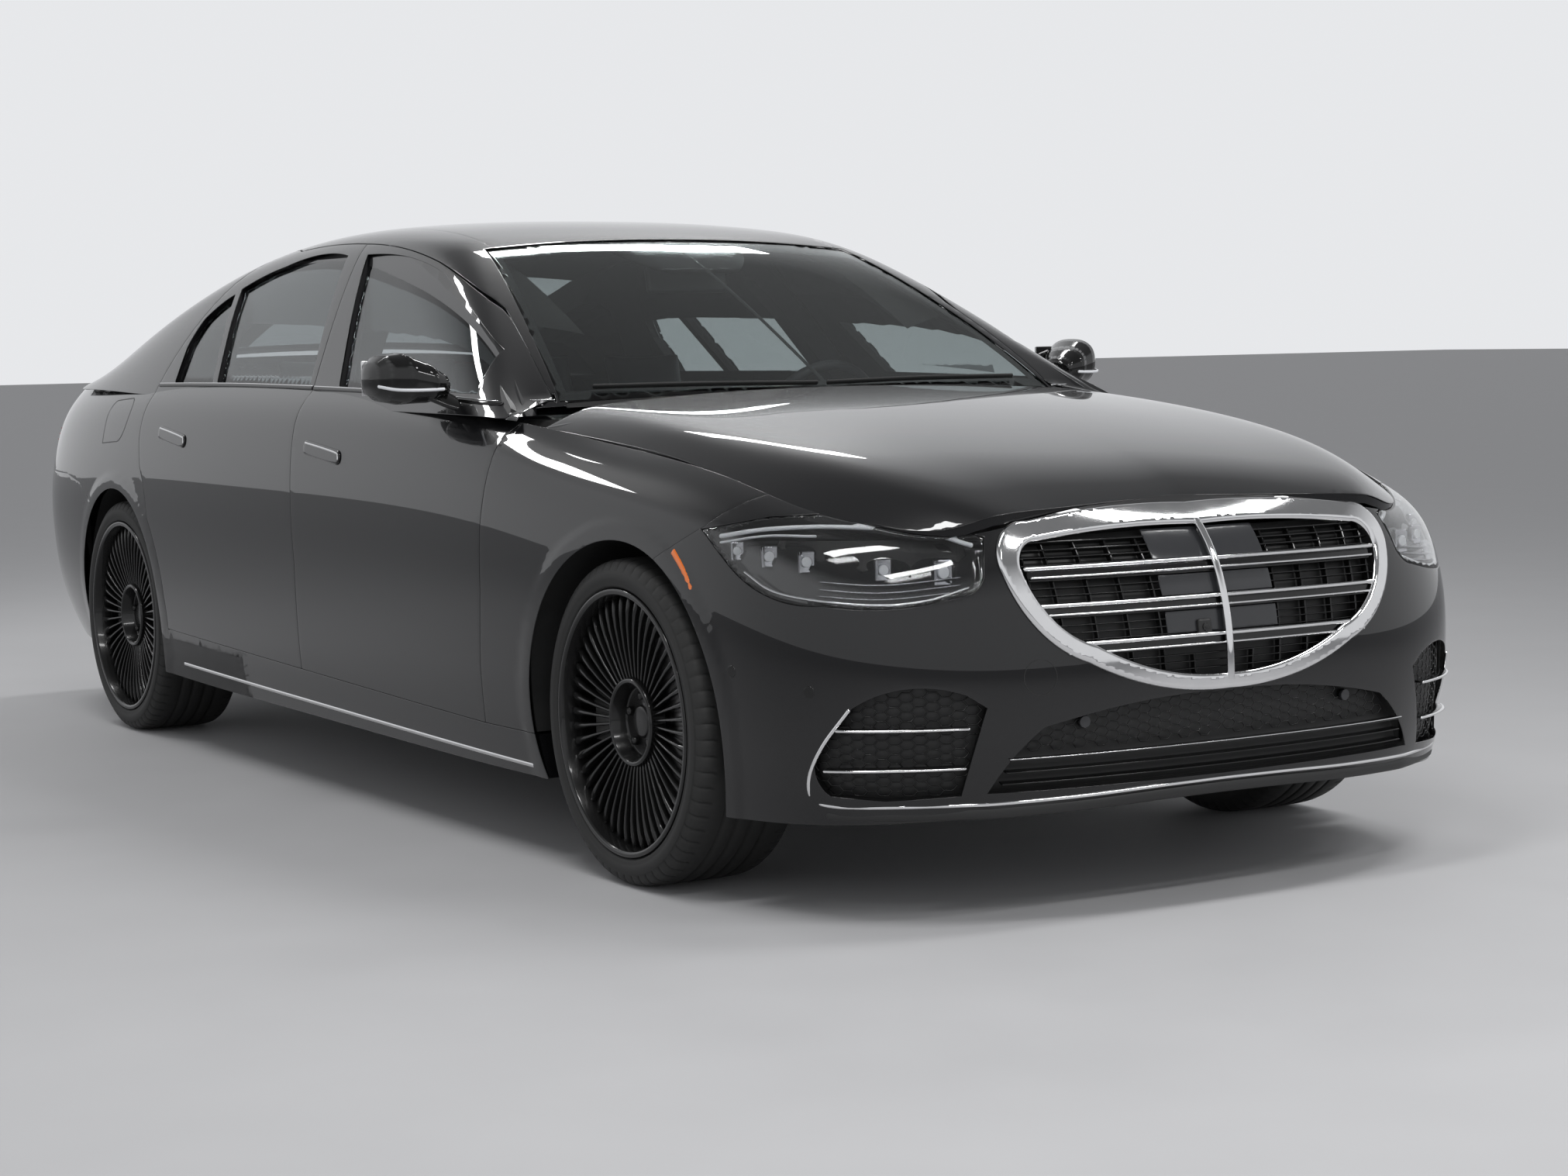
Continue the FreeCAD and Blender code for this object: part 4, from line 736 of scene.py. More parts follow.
def wall_sheet(keep, remove, part, lift, steps=FINE, relief=None):
    return sheet_mesh(wall, keep, remove, steps, (*part, 0, TOP_EDGE), lift, relief)


def wall_panel(keep, remove, part, depth=14, lift=2.0, radius=EDGE, relief=arch_relief, steps=STEPS):
    bm = wall_sheet(keep, remove, part, lift, steps, relief)
    hem(bm, depth, radius)
    return bm


fender = wall_panel([wall_region(SIDE, FENDER, SHUT, (3, 11))], [front_arch, lamp_hole], (4, 11))
pair("fender_skin", fender, "car", paint, "body_paint", ("fender_{side}",))
front_skin = wall_panel([wall_region(SIDE, FRONT_DOOR, SHUT, FRONT_DOOR_PART)], [], FRONT_DOOR_PART)
pair("front_door_skin", front_skin, "front_door_{side}", paint, "body_paint")
rear_skin = wall_panel([wall_region(SIDE, REAR_DOOR, SHUT, REAR_DOOR_PART)], [rear_arch], REAR_DOOR_PART)
pair("rear_door_skin", rear_skin, "rear_door_{side}", paint, "body_paint")

front_cover_loop = open_region(SIDE, BUMPER_SEAM, (4, 9), [(-2, 7), (-2, -3)])
intake = wall_region(FRONT_CORNER, SIDE_INTAKE, 0, CORNER_PART)
lower_intake = wall_region(FRONT, LOWER_INTAKE, 0, NOSE_PART)
grille_loop = wall_region(FRONT, GRILLE, 0, NOSE_PART)
front_cover = wall_panel([front_cover_loop], [front_arch, lamp_hole, intake, lower_intake, grille_loop],
                         (0, 9), depth=28)
whole("front_cover", front_cover, "car", paint, "body_paint", ("front_bumper",))

lid_rear_loop = wall_region(FRONT, LID_REAR, -SHUT, LID_PART)
quarter_loop = open_region(SIDE, REAR_SEAM, (12, 17), [(20, 1.9), (20, 7), (10, 7), (10, -3)])
rear_door_hole = wall_region(SIDE, REAR_DOOR, -SHUT, REAR_DOOR_PART)
quarter = wall_panel([quarter_loop], [rear_arch, tail_hole, rear_door_hole, lid_rear_loop], (10.5, 18))
pair("quarter_skin", quarter, "car", paint, "body_paint")
rear_cover_loop = open_region(SIDE, REAR_SEAM, (12, 17), [(20, 1.9), (20, -3), (11, -3)])
rear_cover = wall_panel([rear_cover_loop], [rear_arch, tail_hole, lid_rear_loop], (12, 18), depth=28)
whole("rear_cover", rear_cover, "car", paint, "body_paint", ("rear_bumper",))
skirt = wall_panel([wall_region(SIDE, SKIRT, SHUT, (5, 15))], [front_arch, rear_arch], (5, 15), depth=40)
pair("skirt_skin", skirt, "car", paint, "body_paint")

# Boot lid and the strips of deck beside it
lid_rear = wall_panel([wall_region(FRONT, LID_REAR, SHUT, LID_PART)], [], LID_PART)
whole("boot_lid_rear_skin", lid_rear, "boot_lid", paint, "body_paint")
DECK_STEPS = (1 / 12, 1 / 12)
DECK_SPAN = (0, 3, 0, 3)
lid_top = sheet_mesh(deck, [deck.find(TOP, moved_in(trace(LID_EDGE), SHUT))], [], DECK_STEPS, DECK_SPAN, 1.0)
hem(lid_top, 12)
whole("boot_lid_top_skin", lid_top, "boot_lid", paint, "body_paint")
lid_hole = deck.find(TOP, moved_in(trace(LID_EDGE), -SHUT))
deck_strip = sheet_mesh(deck, [], [lid_hole], DECK_STEPS, DECK_SPAN, 1.0)
hem(deck_strip, 1.5)
whole("deck_strip", deck_strip, "car", paint, "body_paint")

bonnet_loop = bonnet_top.find(TOP, moved_in(trace(BONNET_EDGE), SHUT))
bonnet_skin = sheet_mesh(bonnet_top, [bonnet_loop], [], (1 / 12, 1 / 14), (-0.1, 5.1, 0, 4.1), 1.0)
hem(bonnet_skin, 14)
whole("bonnet_skin", bonnet_skin, "bonnet", paint, "body_paint")

# Cabin: roof, its sides, door frames and panes
CABIN_STEPS = (1 / 12, 1 / 12)
SCREEN_PART, REAR_SCREEN_PART = (0, 5), (6, 10)
FRONT_FRAME_PART, REAR_FRAME_PART = (0, 6), (3, 9)
FRAME_TOP = 2.15    # how far up the cabin the door frames may reach
COWL_END = 2.3      # where the cowl ends beside the screen
ROOF = [(1300, -20), (1300, 522), (-2300, 522), (-2300, -20)]
# The roof and pillars end ahead of the turning boot lid
LID_ROOM = [(-1932, -20), (-1932, 650), (-2400, 650), (-2400, -20)]


def cabin_loop(view, outline, inset=0.0, part=(0, 10), top=None):
    loop = region(cabin, view, outline, inset, part)
    if top:
        loop[:, 1] = np.minimum(loop[:, 1], top)
    return loop


def cabin_sheet(keep, remove, part, lift, levels=(0, 4)):
    return sheet_mesh(cabin, keep, remove, CABIN_STEPS, (*part, *levels), lift)


def cabin_panel(keep, remove, part=(0, 10), lift=1.0, levels=(0, 4)):
    bm = cabin_sheet(keep, remove, part, lift, levels)
    hem(bm, 10)
    return bm


frames = [cabin_loop(SIDE, FRONT_FRAME, -SHUT, FRONT_FRAME_PART, FRAME_TOP),
          cabin_loop(SIDE, REAR_FRAME, -SHUT, REAR_FRAME_PART, FRAME_TOP)]
screen = cabin_loop(FRONT, SCREEN, 0, SCREEN_PART)
rear_screen = cabin_loop(FRONT, REAR_SCREEN, 0, REAR_SCREEN_PART)
cowl_loop = np.array([(-1, COWL_END), (1, COWL_END), (1, 5), (-1, 5)])
lid_room = cabin_loop(TOP, LID_ROOM, 0, REAR_SCREEN_PART)
holes = [screen, rear_screen, cowl_loop, lid_room]
roof_skin = cabin_panel([cabin_loop(TOP, ROOF, SHUT / 2)], holes)
whole("roof_skin", roof_skin, "car", paint, "body_paint", ("roof",))
pillars = cabin_panel([], frames + holes + [cabin_loop(TOP, ROOF, -SHUT / 2)])
pair("pillar_skin", pillars, "car", paint, "body_paint", ("body_side_{side}",))
for name, frame_line, windows, part in (
        ("front_door", FRONT_FRAME, (FRONT_WINDOW,), FRONT_FRAME_PART),
        ("rear_door", REAR_FRAME, (REAR_WINDOW, QUARTER_LIGHT), REAR_FRAME_PART)):
    body = name + "_{side}"
    openings = [cabin_loop(SIDE, w, 0, part) for w in windows]
    edge = cabin_loop(SIDE, frame_line, SHUT, part, FRAME_TOP - 0.02)
    pair(name + "_frame", cabin_panel([edge], openings, part, levels=(0, 2.2)), body, paint, "body_paint")
    panes = [cabin_sheet([cabin_loop(SIDE, w, 0.5, part)], [], part, -12, (0, 2.4)) for w in windows]
    for extra in panes[1:]:
        both = bpy.data.meshes.new("joined")
        extra.to_mesh(both)
        panes[0].from_mesh(both)
    pair(name + "_pane", panes[0], body, dark_glass, "tinted_glass", (name + "_glass_{side}",), thick=4)

windscreen = cabin_sheet([cabin_loop(FRONT, SCREEN, 1, SCREEN_PART)], [], SCREEN_PART, -2)
whole("windscreen_pane", windscreen, "car", clear_glass, "tinted_glass", ("windscreen",), thick=5)
rear_pane = cabin_sheet([cabin_loop(FRONT, REAR_SCREEN, 1, REAR_SCREEN_PART)], [], REAR_SCREEN_PART, -2)
whole("rear_window_pane", rear_pane, "car", dark_glass, "tinted_glass", ("rear_window",), thick=4)
whole("cowl", cabin_panel([cowl_loop], [screen], (0, 1), -4), "car", satin_black, "underbody_black")

# Wheels: everything is drawn for the left front wheel about a cross axis through x = 0, z = 0, then copied
AXLES = {"front": FRONT_AXLE, "rear": REAR_AXLE}
ACROSS = Vector((0, 1, 0))
TYRE_BACK = WHEEL_FACE - TYRE_WIDTH
BLADES = 48
PITCHES = 64        # shoulder blocks round the tyre
STEPS_PER_PITCH = 5
CUP_RADIUS = 0.096
LUG_CIRCLE = 0.056


def spun(profile, steps):
    """A ring turned about the cross axis from a closed line of (y, r) points."""
    bm = bmesh.new()
    verts = [bm.verts.new((0, y, r)) for y, r in profile]
    edges = [bm.edges.new((verts[k - 1], verts[k])) for k in range(len(verts))]
    bmesh.ops.spin(bm, geom=verts + edges, cent=(0, 0, 0), axis=ACROSS, angle=math.tau, steps=steps,
                   use_merge=True)
    bmesh.ops.remove_doubles(bm, verts=bm.verts[:], dist=1e-5)
    bmesh.ops.recalc_face_normals(bm, faces=bm.faces[:])
    return bm


def joined(first, *others):
    for bm in others:
        mesh = bpy.data.meshes.new("joined")
        bm.to_mesh(mesh)
        bm.free()
        first.from_mesh(mesh)
        bpy.data.meshes.remove(mesh)
    return first


def on_wheels(name, bm, material, slot, node=None):
    """Copies a piece of the left front wheel to all four wheels."""
    for place, axle in AXLES.items():
        left = bm.copy()
        bmesh.ops.translate(left, verts=left.verts[:], vec=(axle, 0, TYRE_RADIUS))
        stands_for = (f"{node}_{place}_{{side}}",) if node else ()
        pair(f"{name}_{place}", left, f"wheel_{place}_{{side}}", material, slot, stands_for)
    bm.free()


def tyre_profile():
    """Side walls with a rim guard and a step, rounded shoulders and four grooves round the tread."""
    bead, tread = RIM_RADIUS + 0.001, TYRE_RADIUS
    out, back = WHEEL_FACE, TYRE_BACK
    wall_side = [(0.016, bead), (0.006, bead + 0.004), (0.0025, bead + 0.009), (0.004, bead + 0.013),
                 (0.001, bead + 0.018), (0.0, bead + 0.028), (0.0025, bead + 0.038), (0.0045, bead + 0.0385),
                 (0.0075, bead + 0.047), (0.013, tread - 0.009), (0.021, tread - 0.004),
                 (0.032, tread - 0.0015), (0.046, tread - 0.0005)]
    face = [(out - y, r) for y, r in wall_side]
    far = [(back + y, r) for y, r in reversed(wall_side)]
    tread_line = []
    for centre, half in ((0.055, 0.0045), (0.019, 0.005), (-0.019, 0.005), (-0.055, 0.0045)):
        y = (out + back) / 2 + centre
        tread_line += [(y + half, tread), (y + half - 0.001, tread - 0.007),
                       (y - half + 0.001, tread - 0.007), (y - half, tread)]
    return face + tread_line + far


tyre = spun(tyre_profile(), PITCHES * STEPS_PER_PITCH)
step_angle = math.tau / (PITCHES * STEPS_PER_PITCH)
for v in tyre.verts:
    r = math.hypot(v.co.x, v.co.z)
    reach = min(v.co.y - TYRE_BACK, WHEEL_FACE - v.co.y)
    if r < TYRE_RADIUS - 0.02 or reach > 0.062:
        continue
    angle = math.atan2(v.co.x, v.co.z)
    place = round(angle / step_angle) % STEPS_PER_PITCH
    edge = 1 if reach < 0.044 else 0
    shift = {1: -0.62, STEPS_PER_PITCH - 1: 0.62}.get(place, 0) * step_angle * edge
    deep = 0.006 * edge if place == 0 else 0
    r, angle = r - deep, angle + shift
    v.co.x, v.co.z = r * math.sin(angle), r * math.cos(angle)
on_wheels("tyre_skin", tyre, rubber, "tyre_rubber", "tyre")

# Rim: lip, well and inner barrel in one ring
lip = WHEEL_FACE - 0.002
rim = spun([(lip + y, RIM_RADIUS + r) for y, r in ((-0.004, 0.003), (0, 0), (0, -0.008), (-0.005, -0.012),
                                                   (-0.026, -0.015), (-0.06, -0.022), (-0.12, -0.026))]
           + [(TYRE_BACK + y, RIM_RADIUS + r) for y, r in ((0.022, -0.02), (0.014, -0.01), (0.014, 0))]
           + [(lip - 0.03, RIM_RADIUS - 0.001)], 96)
# Hub: an outer cup with a rolled edge, a sunk floor and a bare cap
cup_out = WHEEL_FACE - 0.026
cup = spun([(cup_out + y, CUP_RADIUS + r) for y, r in (
    (-0.05, -0.01), (-0.008, 0), (-0.002, -0.002), (0, -0.007), (-0.003, -0.013), (-0.034, -0.018),
    (-0.038, -0.024))] + [(cup_out + y, r) for y, r in (
        (-0.038, 0.037), (-0.03, 0.034), (-0.028, 0.03), (-0.027, 0.001), (-0.05, 0.001))], 72)
lugs = bmesh.new()
for k in range(5):
    turn = Matrix.Rotation(math.tau * k / 5, 4, ACROSS)
    facing = Matrix.Rotation(-math.pi / 2, 4, "X")
    spot = Matrix.Translation((0, cup_out - 0.033, LUG_CIRCLE))
    bmesh.ops.create_cone(lugs, cap_ends=True, segments=6, radius1=0.0105, radius2=0.009, depth=0.016,
                          matrix=turn @ spot @ facing)
blade = bmesh.new()
BLADE_ROWS = [(0.088, 0.0034, 0.0, 0.030), (0.110, 0.0032, 0.004, 0.026), (0.160, 0.0034, 0.010, 0.024),
              (0.205, 0.0046, 0.013, 0.022), (0.235, 0.0068, 0.013, 0.020), (0.252, 0.0082, 0.011, 0.018),
              (0.263, 0.0066, 0.009, 0.016), (0.273, 0.0042, 0.007, 0.015)]


def blade_points(r, half, rise, deep):
    """The ridged section of a blade at a radius."""
    return [(x, cup_out - 0.012 + rise - back, r)
            for x, back in ((-half, deep), (half, deep), (half, 0.002), (0, 0), (-half, 0.002))]


section = blade.faces.new([blade.verts.new(p) for p in blade_points(*BLADE_ROWS[0])])
for row in BLADE_ROWS[1:]:
    section = bmesh.ops.extrude_discrete_faces(blade, faces=[section])["faces"][0]
    for v, place in zip(section.verts, blade_points(*row)):
        v.co = place
bmesh.ops.recalc_face_normals(blade, faces=blade.faces[:])
blades = bmesh.new()
for k in range(BLADES):
    joined(blades, placed(blade.copy(), Matrix.Rotation(math.tau * k / BLADES, 4, ACROSS)))
blade.free()
on_wheels("rim_skin", joined(rim, cup, lugs, blades), wheel_black, "wheel_black", "rim")
disc_front = WHEEL_FACE - 0.0765
disc = spun([(disc_front + y, r) for y, r in (
    (0, 0.186), (0, 0.095), (0.012, 0.085), (0.012, 0.036), (-0.026, 0.036), (-0.026, 0.095),
    (-0.026, 0.186))], 72)
on_wheels("brake_disc", disc, steel, "running_gear_metal")


# Sweeps: a ring of points carried along a line of places, each with its own way out of the surface
def smooth_line(points, count):
    """Points on a smooth curve through the given ones."""
    p = np.array(points, float)
    p = np.concatenate([2 * p[:1] - p[1:2], p, 2 * p[-1:] - p[-2:-1]])
    made = []
    for k in range(1, len(p) - 2):
        for t in np.linspace(0, 1, count, endpoint=False):
            a, b, c, d = p[k - 1:k + 3]
            made.append(0.5 * ((2 * b) + (c - a) * t + (2 * a - 5 * b + 4 * c - d) * t * t
                               + (3 * b - a - 3 * c + d) * t ** 3))
    made.append(p[-2])
    return np.array(made)


def sweep(places, ways, wide, deep, segments=10, ends=(True, True)):
    """A rounded bar along places, in metres: wide lies across it, deep along ways, out of the surface."""
    count = len(places)
    frames = []
    for k in range(count):
        along = Vector(places[min(k + 1, count - 1)] - places[max(k - 1, 0)]).normalized()
        way = Vector(ways[k])
        way = (way - along * way.dot(along)).normalized()
        frames.append((Vector(places[k]), way.cross(along), way, along))
    rows = [(frames[k], 1, 0) for k in range(count)]
    cap = [(0.92, 0.38), (0.7, 0.72), (0.38, 0.93)]
    if ends[0]:
        rows = [(frames[0], s, -f) for s, f in reversed(cap)] + rows
    if ends[1]:
        rows = rows + [(frames[-1], s, f) for s, f in cap]
    matrices = []
    for (place, side, way, along), s, f in rows:
        turn = Matrix((side * wide * s, way * deep * s, along)).transposed().to_4x4()
        matrices.append(Matrix.Translation(place + along * f * min(wide, deep)) @ turn)
    bm = bmesh.new()
    bmesh.ops.create_circle(bm, cap_ends=False, segments=segments, radius=1, matrix=matrices[0])
    loose = bm.edges[:]
    for before, after in zip(matrices, matrices[1:]):
        made = bmesh.ops.extrude_edge_only(bm, edges=loose)["geom"]
        fresh = [g for g in made if isinstance(g, bmesh.types.BMVert)]
        loose = [g for g in made if isinstance(g, bmesh.types.BMEdge)]
        bmesh.ops.transform(bm, matrix=after @ before.inverted(), verts=fresh)
    start = [e for e in bm.edges if e.is_boundary and e not in loose]
    for closed, edges in zip(ends, (start, loose)):
        if closed:
            bmesh.ops.contextual_create(bm, geom=edges)
    bmesh.ops.recalc_face_normals(bm, faces=bm.faces[:])
    return bm


def bar_on(skin, view, points, lift, wide, deep, part=None, count=6, ends=(True, True), segments=10):
    """A bar that follows a line seen in a view, standing on the surface."""
    line = smooth_line(points, count)
    uv = skin.find(view, line, part)
    normals = skin.normals(uv)
    return sweep(skin.at(uv) + normals * lift * MM, normals, wide * MM, deep * MM, segments, ends)


def nose_bar(points, lift, wide, deep, count=10, ends=(True, True), segments=10):
    return bar_on(wall, FRONT, points, lift, wide, deep, NOSE_PART, count, ends, segments)


def corner_bar(points, lift, wide, deep, count=8, segments=10):
    return bar_on(wall, FRONT_CORNER, points, lift, wide, deep, CORNER_PART, count, (True, True), segments)


def nose_panel(keep, remove=(), lift=0.0, depth=6, radius=EDGE, steps=STEPS, part=NOSE_PART):
    return wall_panel(keep, remove, part, depth, lift, radius, None, steps)


# Grille: bright frame, closed black back, louvres and ribs, double bars, upright and sensor panels
hole_loop = wall_region(FRONT, GRILLE_HOLE, 0, NOSE_PART)
grille_frame = nose_panel([grille_loop], [hole_loop], 11, 30, 7, FINE)
whole("grille_frame", grille_frame, "car", chrome, "grille_chrome", ("grille",))
grille_back = nose_panel([wall_region(FRONT, GRILLE_HOLE, -4, NOSE_PART)], lift=-28)
whole("grille_back", grille_back, "car", satin_black, "grille_chrome")

GRILLE_TOP, GRILLE_FOOT = 765, 478
BAR_LEVELS = ((700, 462), (627, 446), (551, 402))       # height of a double bar and where it ends
SENSOR_WIDTH = 143


def grille_end(z):
    """How far out the grille's opening reaches at a height."""
    line = trace(GRILLE_HOLE, 6)
    near = [y for y, h in line if abs(h - z) < 9 and y > 60]
    return max(near) if near else 0


louvres = bmesh.new()
for z in range(GRILLE_FOOT + 6, GRILLE_TOP - 4, 15):
    if any(abs(z - (level - 11)) < 19 for level, _ in BAR_LEVELS):
        continue
    end = grille_end(z)
    start = SENSOR_WIDTH if z > BAR_LEVELS[-1][0] else 0
    if end > start + 40:
        line = [(start, z), ((start + end) / 2, z), (end - 4, z)]
        joined(louvres, nose_bar(line, -13, 1.6, 9, 5, (False, True), 6))
for y in (75, 150, 228, 306, 384, 440):
    foot = min((h for a, h in trace(GRILLE_HOLE, 6) if abs(a - y) < 12), default=GRILLE_FOOT)
    head = GRILLE_TOP if y > SENSOR_WIDTH else BAR_LEVELS[-1][0] - 30
    lean = 0.05 * (head - foot)
    line = [(y, foot + 4), (y + lean / 2, (foot + head) / 2), (y + lean, head - 6)]
    joined(louvres, nose_bar(line, -17, 1.8, 9, 5, (False, False), 6))
pair("grille_louvres", louvres, "car", gloss_black, "grille_chrome")

bars, webs = bmesh.new(), bmesh.new()
for z, end in BAR_LEVELS:
    for level, wide, reach in ((z, 5.0, end), (z - 18, 3.2, end - 8)):
        line = [(0, level), (reach / 2, level), (reach - 10, level)]
        joined(bars, nose_bar(line, 2, wide, 7, 10, (False, True)))
    backing = wall_region(FRONT, [(-20, z - 22), (-20, z + 4), (end - 16, z + 4), (end - 16, z - 22)], 0,
                          NOSE_PART)
    web = wall_sheet([backing], [], NOSE_PART, -2, STEPS)
    hem(web, 10, 1)
    joined(webs, web)
for half in (bars, webs):
    bmesh.ops.delete(half, geom=[v for v in half.verts if v.co.y < -1e-4], context="VERTS")
pair("grille_bars", bars, "car", chrome, "grille_chrome")
pair("grille_bar_webs", webs, "car", gloss_black, "grille_chrome")
upright = nose_bar([(0, 458), (0, 600), (0, 772)], 8, 9, 7, 8, (False, False))
piece("grille_upright", upright, "car", chrome, "grille_chrome")
panels = bmesh.new()
levels = [GRILLE_TOP] + [z for z, _ in BAR_LEVELS]
for head, foot in zip(levels, levels[1:]):
    above = 1 if head == GRILLE_TOP else -26
    tile = wall_region(FRONT, [(-20, foot + 9), (-20, head + above), (SENSOR_WIDTH, head + above),
                               (SENSOR_WIDTH, foot + 9)], 0, NOSE_PART)
    joined(panels, nose_panel([tile], [], -4, 20, 2))
whole("sensor_panels", panels, "car", sensor_grey, "grille_chrome")


def spot_on(view, spot, part=CORNER_PART):
    """The place on the body side that a view shows at a spot, and the way out there."""
    uv = wall.find(view, [spot], part)
    return Vector(wall.at(uv)[0]), Vector(wall.normals(uv)[0])


def on_place(bm, place, out, twist=0.0):
    """Moves a piece drawn about +Z through the origin so that +Z points out there."""
    turn = out.to_track_quat("Z", "Y").to_matrix().to_4x4() @ Matrix.Rotation(twist, 4, "Z")
    return placed(bm, Matrix.Translation(place) @ turn)


def button(radius, height, segments=32, round_by=0.0015):
    """A short round plug about +Z with a rounded rim."""
    bm = bmesh.new()
    bmesh.ops.create_cone(bm, cap_ends=True, segments=segments, radius1=radius, radius2=radius, depth=height)
    top = height / 2
    rim_edges = [e for e in bm.edges if all(abs(v.co.z - top) < 1e-6 for v in e.verts)]
    bmesh.ops.bevel(bm, geom=rim_edges, offset=round_by, segments=3, profile=0.5, affect="EDGES", material=-1)
    return bm


def rounded_block(x, y, z, round_by):
    bm = bmesh.new()
    bmesh.ops.create_cube(bm, size=1, matrix=Matrix.Diagonal((x, y, z, 1)))
    bmesh.ops.bevel(bm, geom=bm.edges[:], offset=round_by, segments=3, profile=0.5, affect="EDGES",
                    material=-1)
    return bm


# Camera in the sensor panel on the car's right
camera_place, camera_out = spot_on(FRONT, (54, 566), NOSE_PART)
camera_place.y *= -1
camera_out.y *= -1
housing = on_place(rounded_block(0.034, 0.034, 0.016, 0.005), camera_place - camera_out * 0.004, camera_out)
piece("front_camera", housing, "car", satin_black, "grille_chrome")
eye = joined(button(0.0085, 0.008), button(0.0045, 0.0105))
eye = on_place(eye, camera_place + camera_out * 0.003, camera_out)
piece("front_camera_eye", eye, "car", gloss_black, "grille_chrome")


# Openings in the lower cover: closed backs with a cell mesh, blades and fins
def cell_mesh(view, outline, part, pitch=(34, 19), lift=-17, inset=6):
    """A mesh of flat hexagon cells laid on the body side inside an outline."""
    wide, high = pitch
    stretch = 1.1547    # a hexagon's width over its height
    cell = Matrix.Diagonal((1, high / wide * stretch, 1, 1)) @ Matrix.Rotation(math.pi / 2, 4, "Z")
    loop = np.array(moved_in(trace(outline), inset))
    low, high_end = loop.min(0), loop.max(0)
    bm = bmesh.new()
    row = 0
    z = low[1]
    while z < high_end[1]:
        y = low[0] - wide + (0.75 * wide if row % 2 else 0)
        while y < high_end[0] + wide:
            if inside(loop, np.array([[y, z]]))[0]:
                bmesh.ops.create_circle(bm, cap_ends=True, segments=6, radius=wide / 2 * MM,
                                        matrix=Matrix.Translation((y * MM, z * MM, 0)) @ cell)
            y += 1.5 * wide
        z += high / 2
        row += 1
    bmesh.ops.remove_doubles(bm, verts=bm.verts[:], dist=1.2 * MM)
    uv = wall.find(view, np.array([(v.co.x / MM, v.co.y / MM) for v in bm.verts]), part)
    for v, place in zip(bm.verts, wall.at(uv) + wall.normals(uv) * lift * MM):
        v.co = place
    bm.normal_update()
    bmesh.ops.wireframe(bm, faces=bm.faces[:], thickness=2.6 * MM, offset=0, use_replace=True,
                        use_boundary=True, use_even_offset=True, use_crease=False, crease_weight=0,
                        use_relative_offset=False, material_offset=0)
    bmesh.ops.recalc_face_normals(bm, faces=bm.faces[:])
    return bm


lower_back = nose_panel([wall_region(FRONT, LOWER_INTAKE, -3, NOSE_PART)], lift=-27)
whole("lower_intake_back", lower_back, "car", satin_black, "grille_chrome", ("lower_grille",))
side_back = nose_panel([wall_region(FRONT_CORNER, SIDE_INTAKE, -3, CORNER_PART)], lift=-27, part=CORNER_PART)
pair("side_intake_back", side_back, "car", satin_black, "grille_chrome")
UPPER_MESH = [(-4, 338), (-4, 434), ((260, 422), (438, 390)), (496, 338)]
pair("lower_intake_mesh", cell_mesh(FRONT, UPPER_MESH, NOSE_PART), "car", gloss_black, "grille_chrome")
side_mesh = cell_mesh(FRONT_CORNER, SIDE_INTAKE, CORNER_PART)
pair("side_intake_mesh", side_mesh, "car", gloss_black, "grille_chrome")
blades_low = bmesh.new()
for z, lift, wide, deep in ((330, -3, 3, 12), (305, -8, 2.2, 12), (282, -8, 2.2, 12)):
    end = 540 - (z - 262) * 0.28
    line = [(0, z), (end / 2, z), (end - 12, z)]
    joined(blades_low, nose_bar(line, lift, wide, deep, 10, (False, True), 8))
pair("lower_intake_blades", blades_low, "car", gloss_black, "grille_chrome")
bright_blade = nose_bar([(0, 333), (240, 333), (512, 333)], 6, 1.6, 3, 10, (False, True), 8)
pair("lower_intake_strip", bright_blade, "car", chrome, "grille_chrome")
FINS = (((-1401, 398), (-1280, 397), (-1150, 396)), ((-1392, 320), (-1260, 318), (-1122, 315)))
fins, fin_backs = bmesh.new(), bmesh.new()
for line in FINS:
    joined(fins, corner_bar(line, 7, 3.2, 4, 10, 8))
    joined(fin_backs, corner_bar(line, -6, 2.6, 14, 10, 8))
pair("side_intake_fins", fins, "car", chrome, "grille_chrome")
pair("side_intake_fin_backs", fin_backs, "car", gloss_black, "grille_chrome")

# Bright line down the side intakes and along the chin, and the black lip under it
CHIN = [(2449, 789, 436), (2401, 820, 364), (2366, 830, 300), (2359, 818, 254), (2403, 789, 241),
        (2482, 711, 242), (2553, 588, 243), (2580, 511, 243), (2612, 341, 246), (2627, 160, 251),
        (2631, 0, 253)]
LIP_START = 30      # the point of the chin line where the lip begins
chin_line = smooth_line(CHIN, 8) * MM
out = np.stack([chin_line[:, 0] * 0 + 0.75, np.clip(chin_line[:, 1], 0, 1) * 0.9, chin_line[:, 2] * 0], 1)
chin = sweep(chin_line + out * 0.004, out, 4.2 * MM, 4.2 * MM, 10, (True, False))
pair("chin_trim", chin, "car", chrome, "grille_chrome")
lip_line = chin_line[LIP_START:] - np.array([0.004, 0.004, 0.018])
lip = sweep(lip_line, out[LIP_START:], 13 * MM, 9 * MM, 10, (True, False))
pair("chin_lip", lip, "car", satin_black, "underbody_black")

# Round distance sensors, and the outline of the towing eye's cover as a thin satin black ring of painted
# shade for its gap
for k, (view, spot) in enumerate(((FRONT, (343, 394)), (SIDE, (2383, 470)), (SIDE, (2194, 500)))):
    place, n = spot_on(view, spot)
    sensor = on_place(button(0.0125, 0.012), place - n * (0.016 if view == FRONT else 0.003), n)
    pair(f"park_sensor_{k}", sensor, "car", gloss_black if view == SIDE else sensor_grey, "grille_chrome")
tow_shade_outer, tow_shade_inner = (wall.find(FRONT, circle(449, 491, radius, 48), NOSE_PART) for radius in (36, 34.5))
# The ring is painted shade for the gap round the cover.
tow_shade_ring = wall_sheet([tow_shade_outer], [tow_shade_inner], NOSE_PART, 2.4)
piece("tow_cover_painted_shade", other_side(tow_shade_ring), "car", satin_black, "underbody_black")
tow_shade_ring.free()

